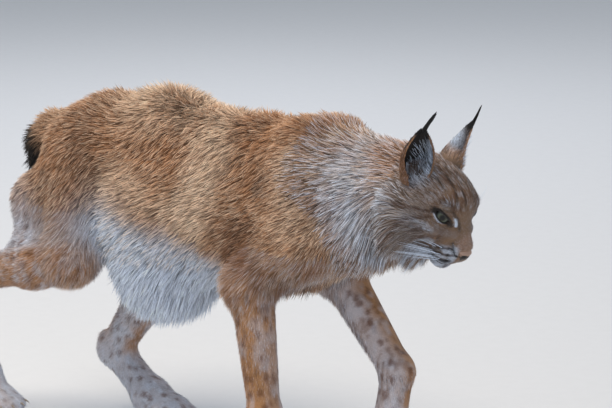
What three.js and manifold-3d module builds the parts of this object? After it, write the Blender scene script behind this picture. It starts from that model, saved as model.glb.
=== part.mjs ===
// A life-size Eurasian lynx in a slow walk, as a still model of many closed pieces.
// Millimetres, +X the way the animal faces, +Y its left, +Z up, floor at Z = 0.
// Each piece is the outer surface of the coat: a blended field of round bones and muscles becomes a mesh,
// and thin cuts part it where a person would name the parts.
import * as THREE from "three";
import { mergeVertices } from "three/addons/utils/BufferGeometryUtils.js";
import Module from "manifold-3d";

const wasm = await Module();
wasm.setup();

// Driving dimensions.
const GAP = 0.3; // between neighbouring pieces
const MERGE = 0.002; // corners closer than this become one
const LEG_REACH = 190; // from the middle plane to past the outside of any leg
const WITHERS = 596; // floor to the top of the shoulders, with the coat
const CROUP = 612; // floor to the top of the hips
const BACK_LENGTH = 384; // withers to the top of the hips
const CHEST_WIDTH = 200;
const BELLY_WIDTH = 226;
const HIP_WIDTH = 178;
const CHEST_FLOOR = 298; // height of the underside of the chest
const BELLY_FLOOR = 226; // height of the underside of the belly pouch
const EYE_RADIUS = 15;
const EAR_HEIGHT = 78;
const TAIL_THICK = 30;
const HEAD_PITCH = 31.5; // degrees, nose down
const HEAD_YAW = -0.6; // degrees, to the left
const HEAD_ROLL = -3; // degrees

const V = (x, y, z) => new THREE.Vector3(x, y, z);

// Places, measured from the floor under the right fore paw.
const WITHERS_AT = V(64, 0, WITHERS);
const CROUP_AT = V(WITHERS_AT.x - BACK_LENGTH, 0, CROUP);
const CHEST_AT = V(WITHERS_AT.x - 68, 0, (WITHERS + CHEST_FLOOR) / 2);
const POUCH_AT = V(CROUP_AT.x + 58, 0, (CROUP + BELLY_FLOOR) / 2 - 4);
const TAIL_ROOT = V(-482, 0, 500);
const HEAD_AT = V(281, 0, 499);

// The right fore and left hind legs carry, the right hind leg pushes off,
// and the left fore leg reaches out.
const LEGS = {
  fore_right: {
    side: -1,
    blade: V(56, -38, 552),
    shoulder: V(88, -68, 410),
    elbow: V(-26, -84, 322),
    wrist: V(10, -74, 114),
    knuckle: V(14, -71, 48),
    toe: V(48, -70, 26),
  },
  fore_left: {
    side: 1,
    blade: V(72, 38, 548),
    shoulder: V(106, 68, 412),
    elbow: V(20, 84, 322),
    wrist: V(162, 72, 184),
    knuckle: V(146, 70, 82),
    toe: V(158, 70, 29),
  },
  hind_right: {
    side: -1,
    hip: V(-402, -52, 484),
    knee: V(-412, -84, 306),
    hock: V(-646, -80, 240),
    knuckle: V(-640, -76, 64),
    toe: V(-606, -74, 27),
  },
  hind_left: {
    side: 1,
    hip: V(-402, 52, 478),
    knee: V(-330, 82, 280),
    hock: V(-470, 78, 112),
    knuckle: V(-380, 74, 42),
    toe: V(-336, 72, 27),
  },
};

// The head's own frame: x along the snout, y left, z up, from the middle of the skull.
const HEAD_TURN = new THREE.Matrix4()
  .makeTranslation(HEAD_AT)
  .multiply(new THREE.Matrix4().makeRotationZ(THREE.MathUtils.degToRad(HEAD_YAW)))
  .multiply(new THREE.Matrix4().makeRotationY(THREE.MathUtils.degToRad(HEAD_PITCH)))
  .multiply(new THREE.Matrix4().makeRotationX(THREE.MathUtils.degToRad(HEAD_ROLL)));
const HEAD_BACK = HEAD_TURN.clone().invert();
const EYE_AT = V(54, 28.5, 7);
const EYE_TURN = 0.9;
const NOSE_AT = V(104, 0, -33);

// Round shapes as distance fields: each is a function of a point, negative inside.
function ellipsoid(centre, radii, lean = 0) {
  const c = Math.cos(THREE.MathUtils.degToRad(lean));
  const s = Math.sin(THREE.MathUtils.degToRad(lean));
  return (p) => {
    const dx = p.x - centre.x;
    const dz = p.z - centre.z;
    const x = (c * dx - s * dz) / radii.x;
    const y = (p.y - centre.y) / radii.y;
    const z = (s * dx + c * dz) / radii.z;
    const far = Math.hypot(x, y, z);
    const slope = Math.hypot(x / radii.x, y / radii.y, z / radii.z);
    return slope < 1e-9 ? -Math.min(radii.x, radii.y, radii.z) : (far * (far - 1)) / slope;
  };
}

function taper(a, b, ra, rb, widen = 1) {
  const run = b.clone().sub(a);
  const length2 = run.lengthSq();
  return (p) => {
    const x = p.x - a.x;
    const y = p.y - a.y;
    const z = p.z - a.z;
    const t = THREE.MathUtils.clamp((x * run.x + y * run.y + z * run.z) / length2, 0, 1);
    const across = (y - t * run.y) / widen;
    return Math.hypot(x - t * run.x, across, z - t * run.z) - ra - t * (rb - ra);
  };
}

function smoothMin(a, b, k) {
  const h = Math.max(k - Math.abs(a - b), 0) / k;
  return Math.min(a, b) - (h * h * k) / 4;
}

// Joins [shape, softness] pairs into one field.
function blend(pairs) {
  return (p) => pairs.reduce((d, [shape, soft]) => smoothMin(d, shape(p), soft), 1e3);
}

function mirrored(make) {
  return [make(-1), make(1)].flat();
}

// A field drawn in the head's frame, for use in the body's frame.
function onHead(pairs) {
  const field = blend(pairs);
  const q = V(0, 0, 0);
  return (p) => field(q.copy(p).applyMatrix4(HEAD_BACK));
}

// The animal's fields.
const trunk = [
  [ellipsoid(CHEST_AT, V(156, CHEST_WIDTH / 2, (WITHERS - CHEST_FLOOR) / 2 - 10), 4), 40],
  [ellipsoid(V(-140, 0, 438), V(200, CHEST_WIDTH / 2 + 3, 144)), 40],
  [ellipsoid(POUCH_AT, V(146, BELLY_WIDTH / 2, (CROUP - BELLY_FLOOR) / 2 - 8), 3), 40],
  [ellipsoid(V(CROUP_AT.x - 60, 0, 498), V(108, HIP_WIDTH / 2, 80), -16), 40],
  [taper(V(CROUP_AT.x - 72, 0, 520), TAIL_ROOT, 56, 34), 40],
];

const neck = [
  [taper(V(90, 0, 486), V(226, 0, 500), 96, 74), 40],
  [ellipsoid(V(168, 0, 438), V(70, 74, 74), 20), 40],
];

function foreleg({ side, blade, shoulder, elbow, wrist, knuckle, toe }) {
  const point = elbow.clone().add(V(-22, 0, 2));
  return [
    [taper(blade, shoulder, 36, 52), 40],
    [taper(shoulder, elbow, 54, 42), 50],
    [taper(elbow.clone().add(V(20, 0, -8)), wrist, 42, 33), 30],
    [taper(point, elbow, 22, 34), 20],
    [taper(wrist, knuckle, 33, 33, 1.08), 16],
    ...paw(knuckle, toe, side),
  ];
}

function hindleg({ side, hip, knee, hock, knuckle, toe }) {
  const heel = hock.clone().sub(knuckle).setY(0).setLength(26).add(hock);
  const ham = hip.clone().lerp(hock, 0.4).add(V(0, side * 8, 6));
  const calf = knee.clone().lerp(hock, 0.35).add(V(-4, 0, 6));
  return [
    [taper(hip, knee, 70, 50), 40],
    [taper(hip.clone().add(V(-22, 0, -6)), ham, 52, 42), 40],
    [taper(knee, calf, 50, 44), 30],
    [taper(ham, calf, 42, 40), 40],
    [taper(calf, hock, 44, 33), 30],
    [taper(hock, heel, 28, 19), 16],
    [taper(hock, knuckle, 31, 30, 1.05), 20],
    ...paw(knuckle, toe, side),
  ];
}

// Four toes spread round the line from knuckle to toe, over a broad pad.
function paw(knuckle, toe, side) {
  const ahead = toe.clone().sub(knuckle);
  const heading = Math.atan2(ahead.y, ahead.x);
  const toes = [-1.5, -0.5, 0.5, 1.5].map((n) => {
    const turn = heading + n * 0.3;
    const reach = 36 - 5 * Math.abs(n);
    const tip = toe.clone().add(V(reach * Math.cos(turn), reach * Math.sin(turn) + n * 8, -7));
    return [taper(toe.clone().add(V(0, n * 12, 4)), tip, 19, 16), 9];
  });
  const pad = [ellipsoid(toe.clone().add(V(-6, side, -4)), V(42, 38, 24)), 20];
  return [[taper(knuckle, toe, 33, 27, 1.15), 20], pad, ...toes];
}

const TAIL_BEND = V(-530, 3, 502);
const TAIL_DROP = V(-560, 6, 476);
const TAIL_END = V(-572, 8, 446);
const tail = [
  [taper(TAIL_ROOT, TAIL_BEND, TAIL_THICK + 4, TAIL_THICK), 30],
  [taper(TAIL_BEND, TAIL_DROP, TAIL_THICK, TAIL_THICK + 1), 12],
  [taper(TAIL_DROP, TAIL_END, TAIL_THICK + 1, TAIL_THICK - 4), 12],
];

const skull = [
  [ellipsoid(V(2, 0, 4), V(74, 63, 58)), 20],
  [ellipsoid(V(42, 0, 22), V(34, 36, 28)), 24],
  ...mirrored((s) => [
    [ellipsoid(V(16, s * 42, -20), V(44, 30, 38)), 24],
    [taper(V(-4, s * 50, -18), V(6, s * 44, -52), 24, 16), 24],
    [ellipsoid(V(50, s * 26, 18), V(17, 16, 11)), 16],
    [ellipsoid(V(58, s * 30, -22), V(24, 20, 17)), 18],
    [ellipsoid(V(83, s * 15, -46), V(21, 18, 17)), 9],
  ]),
  [taper(V(45, 0, -18), V(84, 0, -34), 36, 24), 20],
  [taper(V(52, 0, 14), V(97, 0, -22), 17, 13), 14],
  [taper(V(8, 0, -58), V(70, 0, -66), 34, 17), 20],
  [ellipsoid(V(76, 0, -70), V(15, 15, 11)), 10],
];

const TRUNK = blend(trunk);
const NECK = blend(neck);
const TAIL = blend(tail);
const SKULL = onHead(skull);
const legFields = Object.fromEntries(
  Object.entries(LEGS).map(([name, leg]) => [name, blend(leg.hip ? hindleg(leg) : foreleg(leg))]),
);

const wholeBut = (names) => (p) => {
  let d = smoothMin(TRUNK(p), NECK(p), 70);
  d = smoothMin(d, TAIL(p), 30);
  for (const name of names) d = smoothMin(d, legFields[name](p), 45);
  return d;
};
const allLegs = wholeBut(Object.keys(LEGS));
const neckAndHead = (p) => smoothMin(allLegs(p), SKULL(p), 24);

// Turns a field into a closed mesh on a grid of the given cells, each corner then drawn onto the surface.
function meshAt(field, low, high, cell, grow) {
  const count = ["x", "y", "z"].map((a) => Math.ceil((high[a] - low[a]) / cell[a]) + 1);
  const [nx, ny, nz] = count;
  const at = (i, j, k) => V(low.x + i * cell.x, low.y + j * cell.y, low.z + k * cell.z);
  const id = (i, j, k) => i + nx * (j + ny * k);
  const value = new Float32Array(nx * ny * nz);
  const isEdge = (i, j, k) => !i || !j || !k || i === nx - 1 || j === ny - 1 || k === nz - 1;
  for (let k = 0; k < nz; k++)
    for (let j = 0; j < ny; j++)
      for (let i = 0; i < nx; i++) {
        const d = field(at(i, j, k)) - grow;
        value[id(i, j, k)] = isEdge(i, j, k) ? Math.max(d, 1) : d;
      }
  const corners = [0, 1, 2, 3, 4, 5, 6, 7].map((n) => [n & 1, (n >> 1) & 1, n >> 2]);
  const edges = [];
  for (let a = 0; a < 8; a++) for (const bit of [1, 2, 4]) if (!(a & bit)) edges.push([a, a | bit]);
  const vertexOf = new Map();
  const places = [];
  for (let k = 0; k < nz - 1; k++)
    for (let j = 0; j < ny - 1; j++)
      for (let i = 0; i < nx - 1; i++) {
        const v = corners.map(([a, b, c]) => value[id(i + a, j + b, k + c)]);
        if (v.every((d) => d < 0) || v.every((d) => d >= 0)) continue;
        const sum = V(0, 0, 0);
        let crossings = 0;
        for (const [a, b] of edges)
          if (v[a] < 0 !== v[b] < 0) {
            const t = v[a] / (v[a] - v[b]);
            const from = at(i + corners[a][0], j + corners[a][1], k + corners[a][2]);
            const to = at(i + corners[b][0], j + corners[b][1], k + corners[b][2]);
            sum.add(from.lerp(to, t));
            crossings++;
          }
        sum.divideScalar(crossings);
        const inner = i > 0 && j > 0 && k > 0 && i < nx - 2 && j < ny - 2 && k < nz - 2;
        if (inner) drawOnto(field, sum, cell, grow);
        vertexOf.set(id(i, j, k), places.length);
        places.push(sum);
      }
  const faces = [];
  const quad = (a, b, c, d, flip) => {
    const [p, q, r, s] = [a, b, c, d].map((n) => vertexOf.get(n));
    const short = places[p].distanceTo(places[r]) < places[q].distanceTo(places[s]);
    const two = short ? [[p, q, r], [p, r, s]] : [[p, q, s], [q, r, s]];
    for (const [x, y, z] of two) faces.push(...(flip ? [x, z, y] : [x, y, z]));
  };
  for (let k = 0; k < nz - 1; k++)
    for (let j = 0; j < ny - 1; j++)
      for (let i = 0; i < nx - 1; i++) {
        const here = value[id(i, j, k)] < 0;
        if (j && k && here !== value[id(i + 1, j, k)] < 0)
          quad(id(i, j - 1, k - 1), id(i, j, k - 1), id(i, j, k), id(i, j - 1, k), !here);
        if (i && k && here !== value[id(i, j + 1, k)] < 0)
          quad(id(i - 1, j, k - 1), id(i, j, k - 1), id(i, j, k), id(i - 1, j, k), here);
        if (i && j && here !== value[id(i, j, k + 1)] < 0)
          quad(id(i - 1, j - 1, k), id(i, j - 1, k), id(i, j, k), id(i - 1, j, k), !here);
      }
  const uses = new Map();
  for (let f = 0; f < faces.length; f++) {
    const [a, b] = [faces[f], faces[f % 3 === 2 ? f - 2 : f + 1]];
    const key = Math.min(a, b) * places.length + Math.max(a, b);
    uses.set(key, (uses.get(key) ?? 0) + 1);
  }
  for (const count of uses.values()) if (count !== 2) throw new Error("an edge has more than two faces");
  return solidOf(new THREE.BufferGeometry().setFromPoints(places).setIndex(faces));
}

// A grid that meets the surface in an unlucky way gives an open mesh,
// so it's moved a little and tried again.
function meshOf(field, low, high, cell, grow = 0) {
  for (let n = 0; n < 12; n++) {
    const nudge = V(1.7, 2.3, 1.1).multiplyScalar(n);
    try {
      return meshAt(field, low.clone().add(nudge), high.clone().add(nudge), cell, grow);
    } catch (error) {
      if (n === 11) throw error;
    }
  }
}

// Moves a point along the field's slope until it lies on the surface, staying near its own cell.
function drawOnto(field, point, cell, grow) {
  const h = 0.5;
  const start = point.clone();
  for (let n = 0; n < 3; n++) {
    const d = field(point) - grow;
    const slope = slopeOf(field, point, h);
    point.addScaledVector(slope, -d / Math.max(slope.lengthSq(), 0.2));
  }
  const limit = 0.5 * Math.min(cell.x, cell.y, cell.z);
  const moved = point.clone().sub(start);
  if (moved.length() > limit) point.copy(start).addScaledVector(moved.normalize(), limit);
}

function slopeOf(field, point, h) {
  const step = (x, y, z) => field(V(point.x + x, point.y + y, point.z + z));
  return V(
    step(h, 0, 0) - step(-h, 0, 0),
    step(0, h, 0) - step(0, -h, 0),
    step(0, 0, h) - step(0, 0, -h),
  ).divideScalar(2 * h);
}

// Between three.js geometry and solids that can be joined and cut.
function solidOf(geometry) {
  const bare = new THREE.BufferGeometry().setAttribute("position", geometry.getAttribute("position"));
  bare.setIndex(geometry.index);
  const merged = mergeVertices(bare, 1e-3);
  return new wasm.Manifold(
    new wasm.Mesh({
      numProp: 3,
      vertProperties: new Float32Array(merged.attributes.position.array),
      triVerts: new Uint32Array(merged.index.array),
    }),
  );
}

function geometryOf(solid) {
  const mesh = solid.getMesh();
  const seen = new Map();
  const points = [];
  const merged = Array.from({ length: mesh.vertProperties.length / 3 }, (_, n) => {
    const p = Array.from(mesh.vertProperties.slice(3 * n, 3 * n + 3), (v) => Math.round(v / MERGE) * MERGE);
    const key = p.map((v) => v.toFixed(3)).join(" ");
    if (!seen.has(key)) {
      seen.set(key, points.length);
      points.push(V(...p));
    }
    return seen.get(key);
  });
  // A sliver whose corners merge is dropped, and so are two faces that then lie back to back.
  const faces = new Map();
  for (let f = 0; f < mesh.triVerts.length; f += 3) {
    const [a, b, c] = Array.from(mesh.triVerts.slice(f, f + 3), (v) => merged[v]);
    if (a === b || b === c || c === a) continue;
    const key = [a, b, c].sort((x, y) => x - y).join(" ");
    if (faces.has(key)) faces.delete(key);
    else faces.set(key, [a, b, c]);
  }
  const geometry = new THREE.BufferGeometry().setFromPoints(points).setIndex([...faces.values()].flat());
  const flat = geometry.toNonIndexed();
  flat.computeVertexNormals();
  return flat;
}

function largest(solid) {
  return solid.decompose().reduce((a, b) => (b.volume() > a.volume() ? b : a));
}

// Keeps the side of a plane that the normal points to.
function keep(solid, point, normal) {
  const n = normal.clone().normalize();
  return solid.trimByPlane(n.toArray(), n.dot(point) + GAP / 2);
}
const drop = (solid, point, normal) => keep(solid, point, normal.clone().negate());

const cube = (cell) => V(cell, cell, cell);
const onBody = (p) => p.clone().applyMatrix4(HEAD_TURN);
const joined = (solids) => wasm.Manifold.union(solids);

// A closed skin through rings of points, each ring with the same even count, capped at both ends.
function loft(rings) {
  const n = rings[0].length;
  const points = rings.flat();
  const end = (rings.length - 1) * n;
  const faces = [];
  for (let r = 0; r < rings.length - 1; r++)
    for (let i = 0; i < n; i++) {
      const a = r * n + i;
      const b = r * n + ((i + 1) % n);
      faces.push(a, b, b + n, a, b + n, a + n);
    }
  for (let i = 0; i < n / 2 - 1; i++) {
    const [a, b, c, d] = [i, i + 1, n - 2 - i, n - 1 - i];
    faces.push(a, c, b, a, d, c, end + a, end + b, end + c, end + a, end + c, end + d);
  }
  let volume = 0;
  for (let f = 0; f < faces.length; f += 3) {
    const [p, q, r] = [faces[f], faces[f + 1], faces[f + 2]].map((v) => points[v]);
    volume += p.dot(q.clone().cross(r));
  }
  if (volume < 0) faces.reverse();
  return solidOf(new THREE.BufferGeometry().setFromPoints(points).setIndex(faces));
}

// A flat or round rod through points, given its half width and half thickness at each.
// `flat` is its broad face.
function rod(points, wide, thick, sides, flat) {
  const rings = points.map((p, i) => {
    const before = points[Math.max(i - 1, 0)];
    const ahead = points[Math.min(i + 1, points.length - 1)].clone().sub(before).normalize();
    const across = flat.clone().cross(ahead).normalize();
    const up = ahead.clone().cross(across);
    return Array.from({ length: sides }, (_, n) => {
      const turn = (n / sides) * 2 * Math.PI;
      const out = p.clone().addScaledVector(across, wide[i] * Math.cos(turn));
      return out.addScaledVector(up, thick[i] * Math.sin(turn));
    });
  });
  return loft(rings);
}

// A slab standing across the body: two discs and the box between them, from `inner` out to `outer`.
function slab(a, b, size, side, inner, grow) {
  const radius = size + grow;
  const wide = LEG_REACH - inner + 2 * grow;
  const middle = side * ((inner + LEG_REACH) / 2);
  const disc = (c) => {
    const round = new THREE.CylinderGeometry(radius, radius, wide, 20);
    return solidOf(round.translate(c.x, middle, c.z));
  };
  const run = V(b.x - a.x, 0, b.z - a.z);
  const box = new THREE.BoxGeometry(run.length() + 2 * grow, wide, 2 * radius)
    .rotateY(-Math.atan2(run.z, run.x))
    .translate((a.x + b.x) / 2, middle, (a.z + b.z) / 2);
  return joined([disc(a), disc(b), solidOf(box)]);
}

function block(low, high) {
  const size = high.clone().sub(low);
  const middle = high.clone().add(low).divideScalar(2);
  return solidOf(new THREE.BoxGeometry(size.x, size.y, size.z).translate(middle.x, middle.y, middle.z));
}

// Draws a point onto a field's surface, and gives the way out of the surface there.
function settle(field, point) {
  const p = point.clone();
  for (let n = 0; n < 5; n++) {
    const slope = slopeOf(field, p, 0.5);
    p.addScaledVector(slope, -field(p) / Math.max(slope.lengthSq(), 0.2));
  }
  return [p, slopeOf(field, p, 0.5).normalize()];
}

// A seeded run of numbers from -1 to 1, for the small differences between one lock and the next.
let seed = 7;
function wander() {
  seed = (seed * 16807) % 2147483647;
  return (2 * seed) / 2147483647 - 1;
}

// One lock of long hair: flat, tapered to its tip, rooted in the surface, leaving along `lie` and sagging.
function lock(field, near, lie, length, wide, { lift = 0.35, sag = 0.2, flat = null } = {}) {
  const [root, out] = settle(field, near);
  const flatLie = lie.clone().addScaledVector(out, -lie.dot(out)).normalize();
  const along = flatLie.addScaledVector(out, lift).normalize();
  const reach = length * (1 + 0.14 * wander());
  const drift = V(0.12 * wander(), 0.12 * wander(), 0);
  const path = [-0.16, 0.22, 0.64, 1].map((t) => {
    const bend = t * Math.abs(t);
    const straight = root.clone().addScaledVector(along, t * reach);
    return straight.addScaledVector(V(0, 0, -sag).add(drift), bend * reach);
  });
  const w = wide * (1 + 0.12 * wander());
  const thick = [1, 0.9, 0.6, 0.14].map((f) => 0.3 * f * w);
  return rod(path, [0.85, 1, 0.66, 0.06].map((f) => f * w), thick, 4, flat ?? out);
}

// The part of space that belongs to a leg; grown by the gap it's what the torso gives up.
function legRoom(leg, grow) {
  const { side, shoulder, elbow, wrist, hip, knee, hock, toe } = leg;
  const box = (lowX, highX, top) => {
    const [near, far] = [16 - grow, LEG_REACH + grow];
    const [lowY, highY] = side > 0 ? [near, far] : [-far, -near];
    return block(V(lowX - grow, lowY, -20), V(highX + grow, highY, top + grow));
  };
  if (hip) {
    const low = knee.clone().lerp(hock, 0.4);
    return joined([
      slab(hip.clone().add(V(-6, 0, -30)), knee, 88, side, 46, grow),
      slab(low, hock, 68, side, 16, grow),
      box(Math.min(hock.x, toe.x) - 90, Math.max(hock.x, toe.x) + 90, Math.min(hock.z, 200)),
    ]);
  }
  return joined([
    slab(shoulder.clone().add(V(-8, 0, 14)), elbow.clone().add(V(0, 0, -4)), 62, side, 50, grow),
    box(elbow.x - 110, Math.max(wrist.x, toe.x) + 110, 284),
  ]);
}

const NECK_CUT = [V(132, 0, 480), V(0.923, 0, 0.385)];
const HEAD_CUT = [V(226, 0, 478), V(0.95, 0, 0.31)];
const TIP_CUT = [V(-556, 0, 478), V(-0.75, 0, -0.66)];

function tailRoom(grow) {
  return block(V(-700, -66 - grow, 404 - grow), V(-484 + grow, 66 + grow, 640));
}

// Between two bones that meet at a joint, the cut halves the bend.
function jointCut(from, joint, to) {
  const normal = joint.clone().sub(from).setY(0).normalize().add(to.clone().sub(joint).setY(0).normalize());
  return [joint, normal];
}

const pieces = {};

// Torso: the whole body without the room of each leg, the neck and the tail.
let torso = meshOf(allLegs, V(-590, -170, 170), V(250, 170, 690), cube(40));
const torsoLocks = [];
for (let n = 0; n < 8; n++) {
  const near = V(-352 + n * 40, 16 * (n % 2 ? 1 : -1) + 8 * wander(), 620);
  torsoLocks.push(lock(allLegs, near, V(-1, 0.2 * wander(), 0), 58, 16, { lift: 0.2, sag: 0.1 }));
}
for (const [row, count] of [[-24, 6], [24, 6]])
  for (let n = 0; n < count; n++) {
    const x = -340 + (n + 0.5 + 0.5 * (row > 0) + 0.15 * wander()) * (230 / count);
    const lie = V(-1, row / 200, -0.2);
    torsoLocks.push(lock(allLegs, V(x, row, 190), lie, 44, 18, { lift: 0.3, sag: 0.16 }));
  }
for (const row of [-22, 22])
  for (let n = 0; n < 3; n++) {
    const near = V(66 + n * 30 + 0.3 * row, row, 268 + n * 12);
    torsoLocks.push(lock(allLegs, near, V(-0.7, row / 90, -0.7), 46, 16, { lift: 0.4 }));
  }
torso = joined([torso, ...torsoLocks]);
torso = drop(torso, ...NECK_CUT);
torso = torso.subtract(tailRoom(GAP));
for (const leg of Object.values(LEGS)) torso = torso.subtract(legRoom(leg, GAP));
pieces.torso = largest(torso);

for (const [name, leg] of Object.entries(LEGS)) {
  const { side, shoulder, elbow, wrist, hip, knee, hock, knuckle, toe } = leg;
  const [root, middle, end] = hip ? [hip, knee, hock] : [shoulder, elbow, wrist];
  const xs = [root, middle, end, knuckle, toe].map((p) => p.x);
  const low = V(Math.min(...xs) - 120, side > 0 ? -30 : -190, -30);
  const high = V(Math.max(...xs) + 130, side > 0 ? 190 : 30, root.z + 130);
  const field = wholeBut([name]);
  const below = end.z + 10;
  const upperMesh = meshOf(field, V(low.x, low.y, below - 60), high, cube(30));
  const lowerMesh = meshOf(field, low, V(high.x, high.y, below + 60), cube(19));
  const room = legRoom(leg, 0);
  let upper = drop(upperMesh.intersect(room), ...NECK_CUT);
  upper = upper.subtract(tailRoom(GAP));
  const lower = keep(lowerMesh, V(0, 0, 0), V(0, 0, 1));
  if (hip) {
    const ham = hip.clone().lerp(hock, 0.28);
    const fringe = [0, 1, 2].map((n) => {
      const near = ham.clone().add(V(-90 + 20 * n, side * (8 + 22 * n), 56 - 46 * n));
      return lock(field, near, V(-0.5, 0, -0.8), 44, 16, { lift: 0.3 });
    });
    upper = joined([upper, ...fringe.map((f) => f.intersect(room).subtract(tailRoom(GAP)))]);
  }
  const bend = jointCut(root, middle, end);
  const foot = jointCut(middle, end, knuckle);
  const [a, b, c] = hip ? ["thigh", "shank", "hindpaw"] : ["upper_foreleg", "forearm", "forepaw"];
  const tag = side > 0 ? "left" : "right";
  pieces[`${a}_${tag}`] = largest(drop(upper, ...bend));
  pieces[`${b}_${tag}`] = largest(drop(keep(upper, ...bend), ...foot));
  pieces[`${c}_${tag}`] = largest(keep(lower.intersect(room), ...foot));
}

// Tail: a base and a dark tip.
const tailField = (p) => smoothMin(TRUNK(p), TAIL(p), 30);
const tailMesh = meshOf(tailField, V(-640, -90, 390), V(-420, 90, 590), cube(19));
const wholeTail = largest(tailMesh.intersect(tailRoom(0)));
pieces.tail_base = largest(drop(wholeTail, ...TIP_CUT));
const brush = Array.from({ length: 5 }, (_, n) => {
  const turn = (n / 5) * 2 * Math.PI;
  const near = TAIL_END.clone().add(V(24 * Math.cos(turn), 24 * Math.sin(turn), -4));
  return lock(TAIL, near, V(-0.05, 0, -1), 34, 12, { lift: 0.1, sag: 0.1 });
});
pieces.tail_tip = largest(joined([keep(wholeTail, ...TIP_CUT), ...brush]));

// Neck, between the torso and the head.
const neckMesh = meshOf(neckAndHead, V(60, -150, 320), V(340, 150, 640), cube(24));
const throat = [];
for (const row of [0, 1])
  for (let n = 0; n < 3; n++) {
    const across = (n - 1) * 34 + 12 * row;
    const near = V(234 - 24 * row, across, 360 + 0.14 * Math.abs(across) + 6 * row);
    throat.push(lock(neckAndHead, near, V(-0.7, across / 120, -0.7), 46, 18, { lift: 0.5, sag: 0.3 }));
  }
pieces.neck = largest(drop(keep(joined([neckMesh, ...throat]), ...NECK_CUT), ...HEAD_CUT));

// Eyes, and the lids that hold them.
function ball(radius, detail, centre) {
  const geometry = new THREE.IcosahedronGeometry(radius, detail).translate(centre.x, centre.y, centre.z);
  return solidOf(geometry);
}

// The opening between the lids: an almond across the eye, driven through along the line of sight.
function almond(side) {
  const sight = V(Math.cos(EYE_TURN), side * Math.sin(EYE_TURN), 0.08).normalize();
  const corner = V(26, -side * 24, -14);
  const along = corner.addScaledVector(sight, -corner.dot(sight)).normalize();
  const up = sight.clone().cross(along);
  if (up.z < 0) up.negate();
  const eye = V(EYE_AT.x, side * EYE_AT.y, EYE_AT.z);
  const outline = Array.from({ length: 14 }, (_, n) => {
    const turn = (n / 14) * 2 * Math.PI;
    const high = Math.sin(turn) > 0 ? 8 : 6.4;
    const sharp = Math.sign(Math.sin(turn)) * Math.abs(Math.sin(turn)) ** 1.25;
    return [14 * Math.cos(turn), high * sharp];
  });
  const ring = (depth, scale) =>
    outline.map(([a, b]) => {
      const point = eye.clone().addScaledVector(sight, depth);
      return point.addScaledVector(along, a * scale).addScaledVector(up, b * scale);
    });
  return loft([ring(1, 0.9), ring(12, 1), ring(40, 1.5)]);
}

// The cup of an ear: a curved sheet, thick at the base and thin at the rim, open to the front and outside.
const EAR_LEVELS = [
  // height, half width, depth, half turn of the sheet in degrees, thickness
  [-0.24, 24, 22, 150, 5],
  [0, 27, 24, 142, 5],
  [0.16, 30, 23, 128, 4.4],
  [0.34, 30, 19, 116, 3.8],
  [0.52, 26.5, 15, 108, 3.2],
  [0.72, 19, 10.5, 101, 2.7],
  [0.9, 9, 6, 95, 2.1],
  [1, 3.4, 3, 90, 1.7],
];
const EAR_ARC = 9;

function earFrame(side) {
  const base = V(-20, side * 39, 36);
  const up = V(-8, side * 25, 74).normalize();
  const open = V(0.8, side * 0.6, 0);
  open.addScaledVector(up, -open.dot(up)).normalize();
  const across = up.clone().cross(open);
  return { base, up, open, across };
}

function ear(side, grow) {
  const { base, up, open, across } = earFrame(side);
  const rings = EAR_LEVELS.map(([level, wide, deep, half, thick], row) => {
    const spread = THREE.MathUtils.degToRad(half + (grow ? 2 : 0));
    const sink = row === 0 ? grow : 0;
    const rise = level * EAR_HEIGHT - sink;
    const middle = base.clone().addScaledVector(up, rise).addScaledVector(open, 6 - 6 * level);
    const arc = (inset) =>
      Array.from({ length: EAR_ARC }, (_, n) => {
        const turn = spread * ((2 * n) / (EAR_ARC - 1) - 1);
        const out = middle.clone().addScaledVector(open, -(deep - inset) * Math.cos(turn));
        return out.addScaledVector(across, (wide - inset) * Math.sin(turn));
      });
    return [...arc(-grow), ...arc(Math.min(thick, 0.7 * deep) + grow).reverse()];
  });
  return placed(loft(rings));
}

const placed = (solid) => solid.transform(HEAD_TURN.elements);

// The tuft on an ear: a few fine locks that leave the tip together and curve inward.
function earTuft(side) {
  const { base, up, open, across } = earFrame(side);
  const start = base.clone().addScaledVector(up, EAR_HEIGHT - 8);
  const locks = [-1, -0.3, 0.3, 1].map((n, row) => {
    const length = 46 - 7 * Math.abs(n) - 2 * row;
    const path = [0, 0.34, 0.7, 1].map((t) =>
      start
        .clone()
        .addScaledVector(up, t * length - 6 * Math.abs(n))
        .addScaledVector(across, n * (1.6 + 2.4 * t))
        .addScaledVector(open, 0.8 * (row % 2) + 1.5 * n * t)
        .addScaledVector(V(0.3, -side, 0), t ** 1.3 * 0.6 * length));
    return rod(path, [3, 3, 1.9, 0.4], [1.8, 1.6, 1, 0.3], 4, open);
  });
  return placed(joined(locks));
}

// Nose leather, with its two nostrils.
function noseLeather(grow) {
  const bulb = (x, z, rx, ry, rz, detail) => {
    const geometry = new THREE.IcosahedronGeometry(1, detail).scale(rx + grow, ry + grow, rz + grow);
    return solidOf(geometry.rotateY(0.4).translate(NOSE_AT.x + x, 0, NOSE_AT.z + z));
  };
  return joined([bulb(0, 0, 9, 13.5, 8, 2), bulb(-2, -8, 7, 8, 8, 1)]);
}

let nose = noseLeather(0);
for (const side of [-1, 1]) {
  const points = [V(10, 5, -1), V(7, 7, -2), V(2, 11.5, -1.5), V(-3, 15, 1)].map((p) =>
    V(p.x + NOSE_AT.x, side * p.y, p.z + NOSE_AT.z));
  nose = nose.subtract(rod(points, [1.6, 2.4, 1.7, 1], [1.4, 2, 1.4, 1], 6, V(1, 0, 0.2)));
}
pieces.nose = placed(largest(nose));

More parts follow.
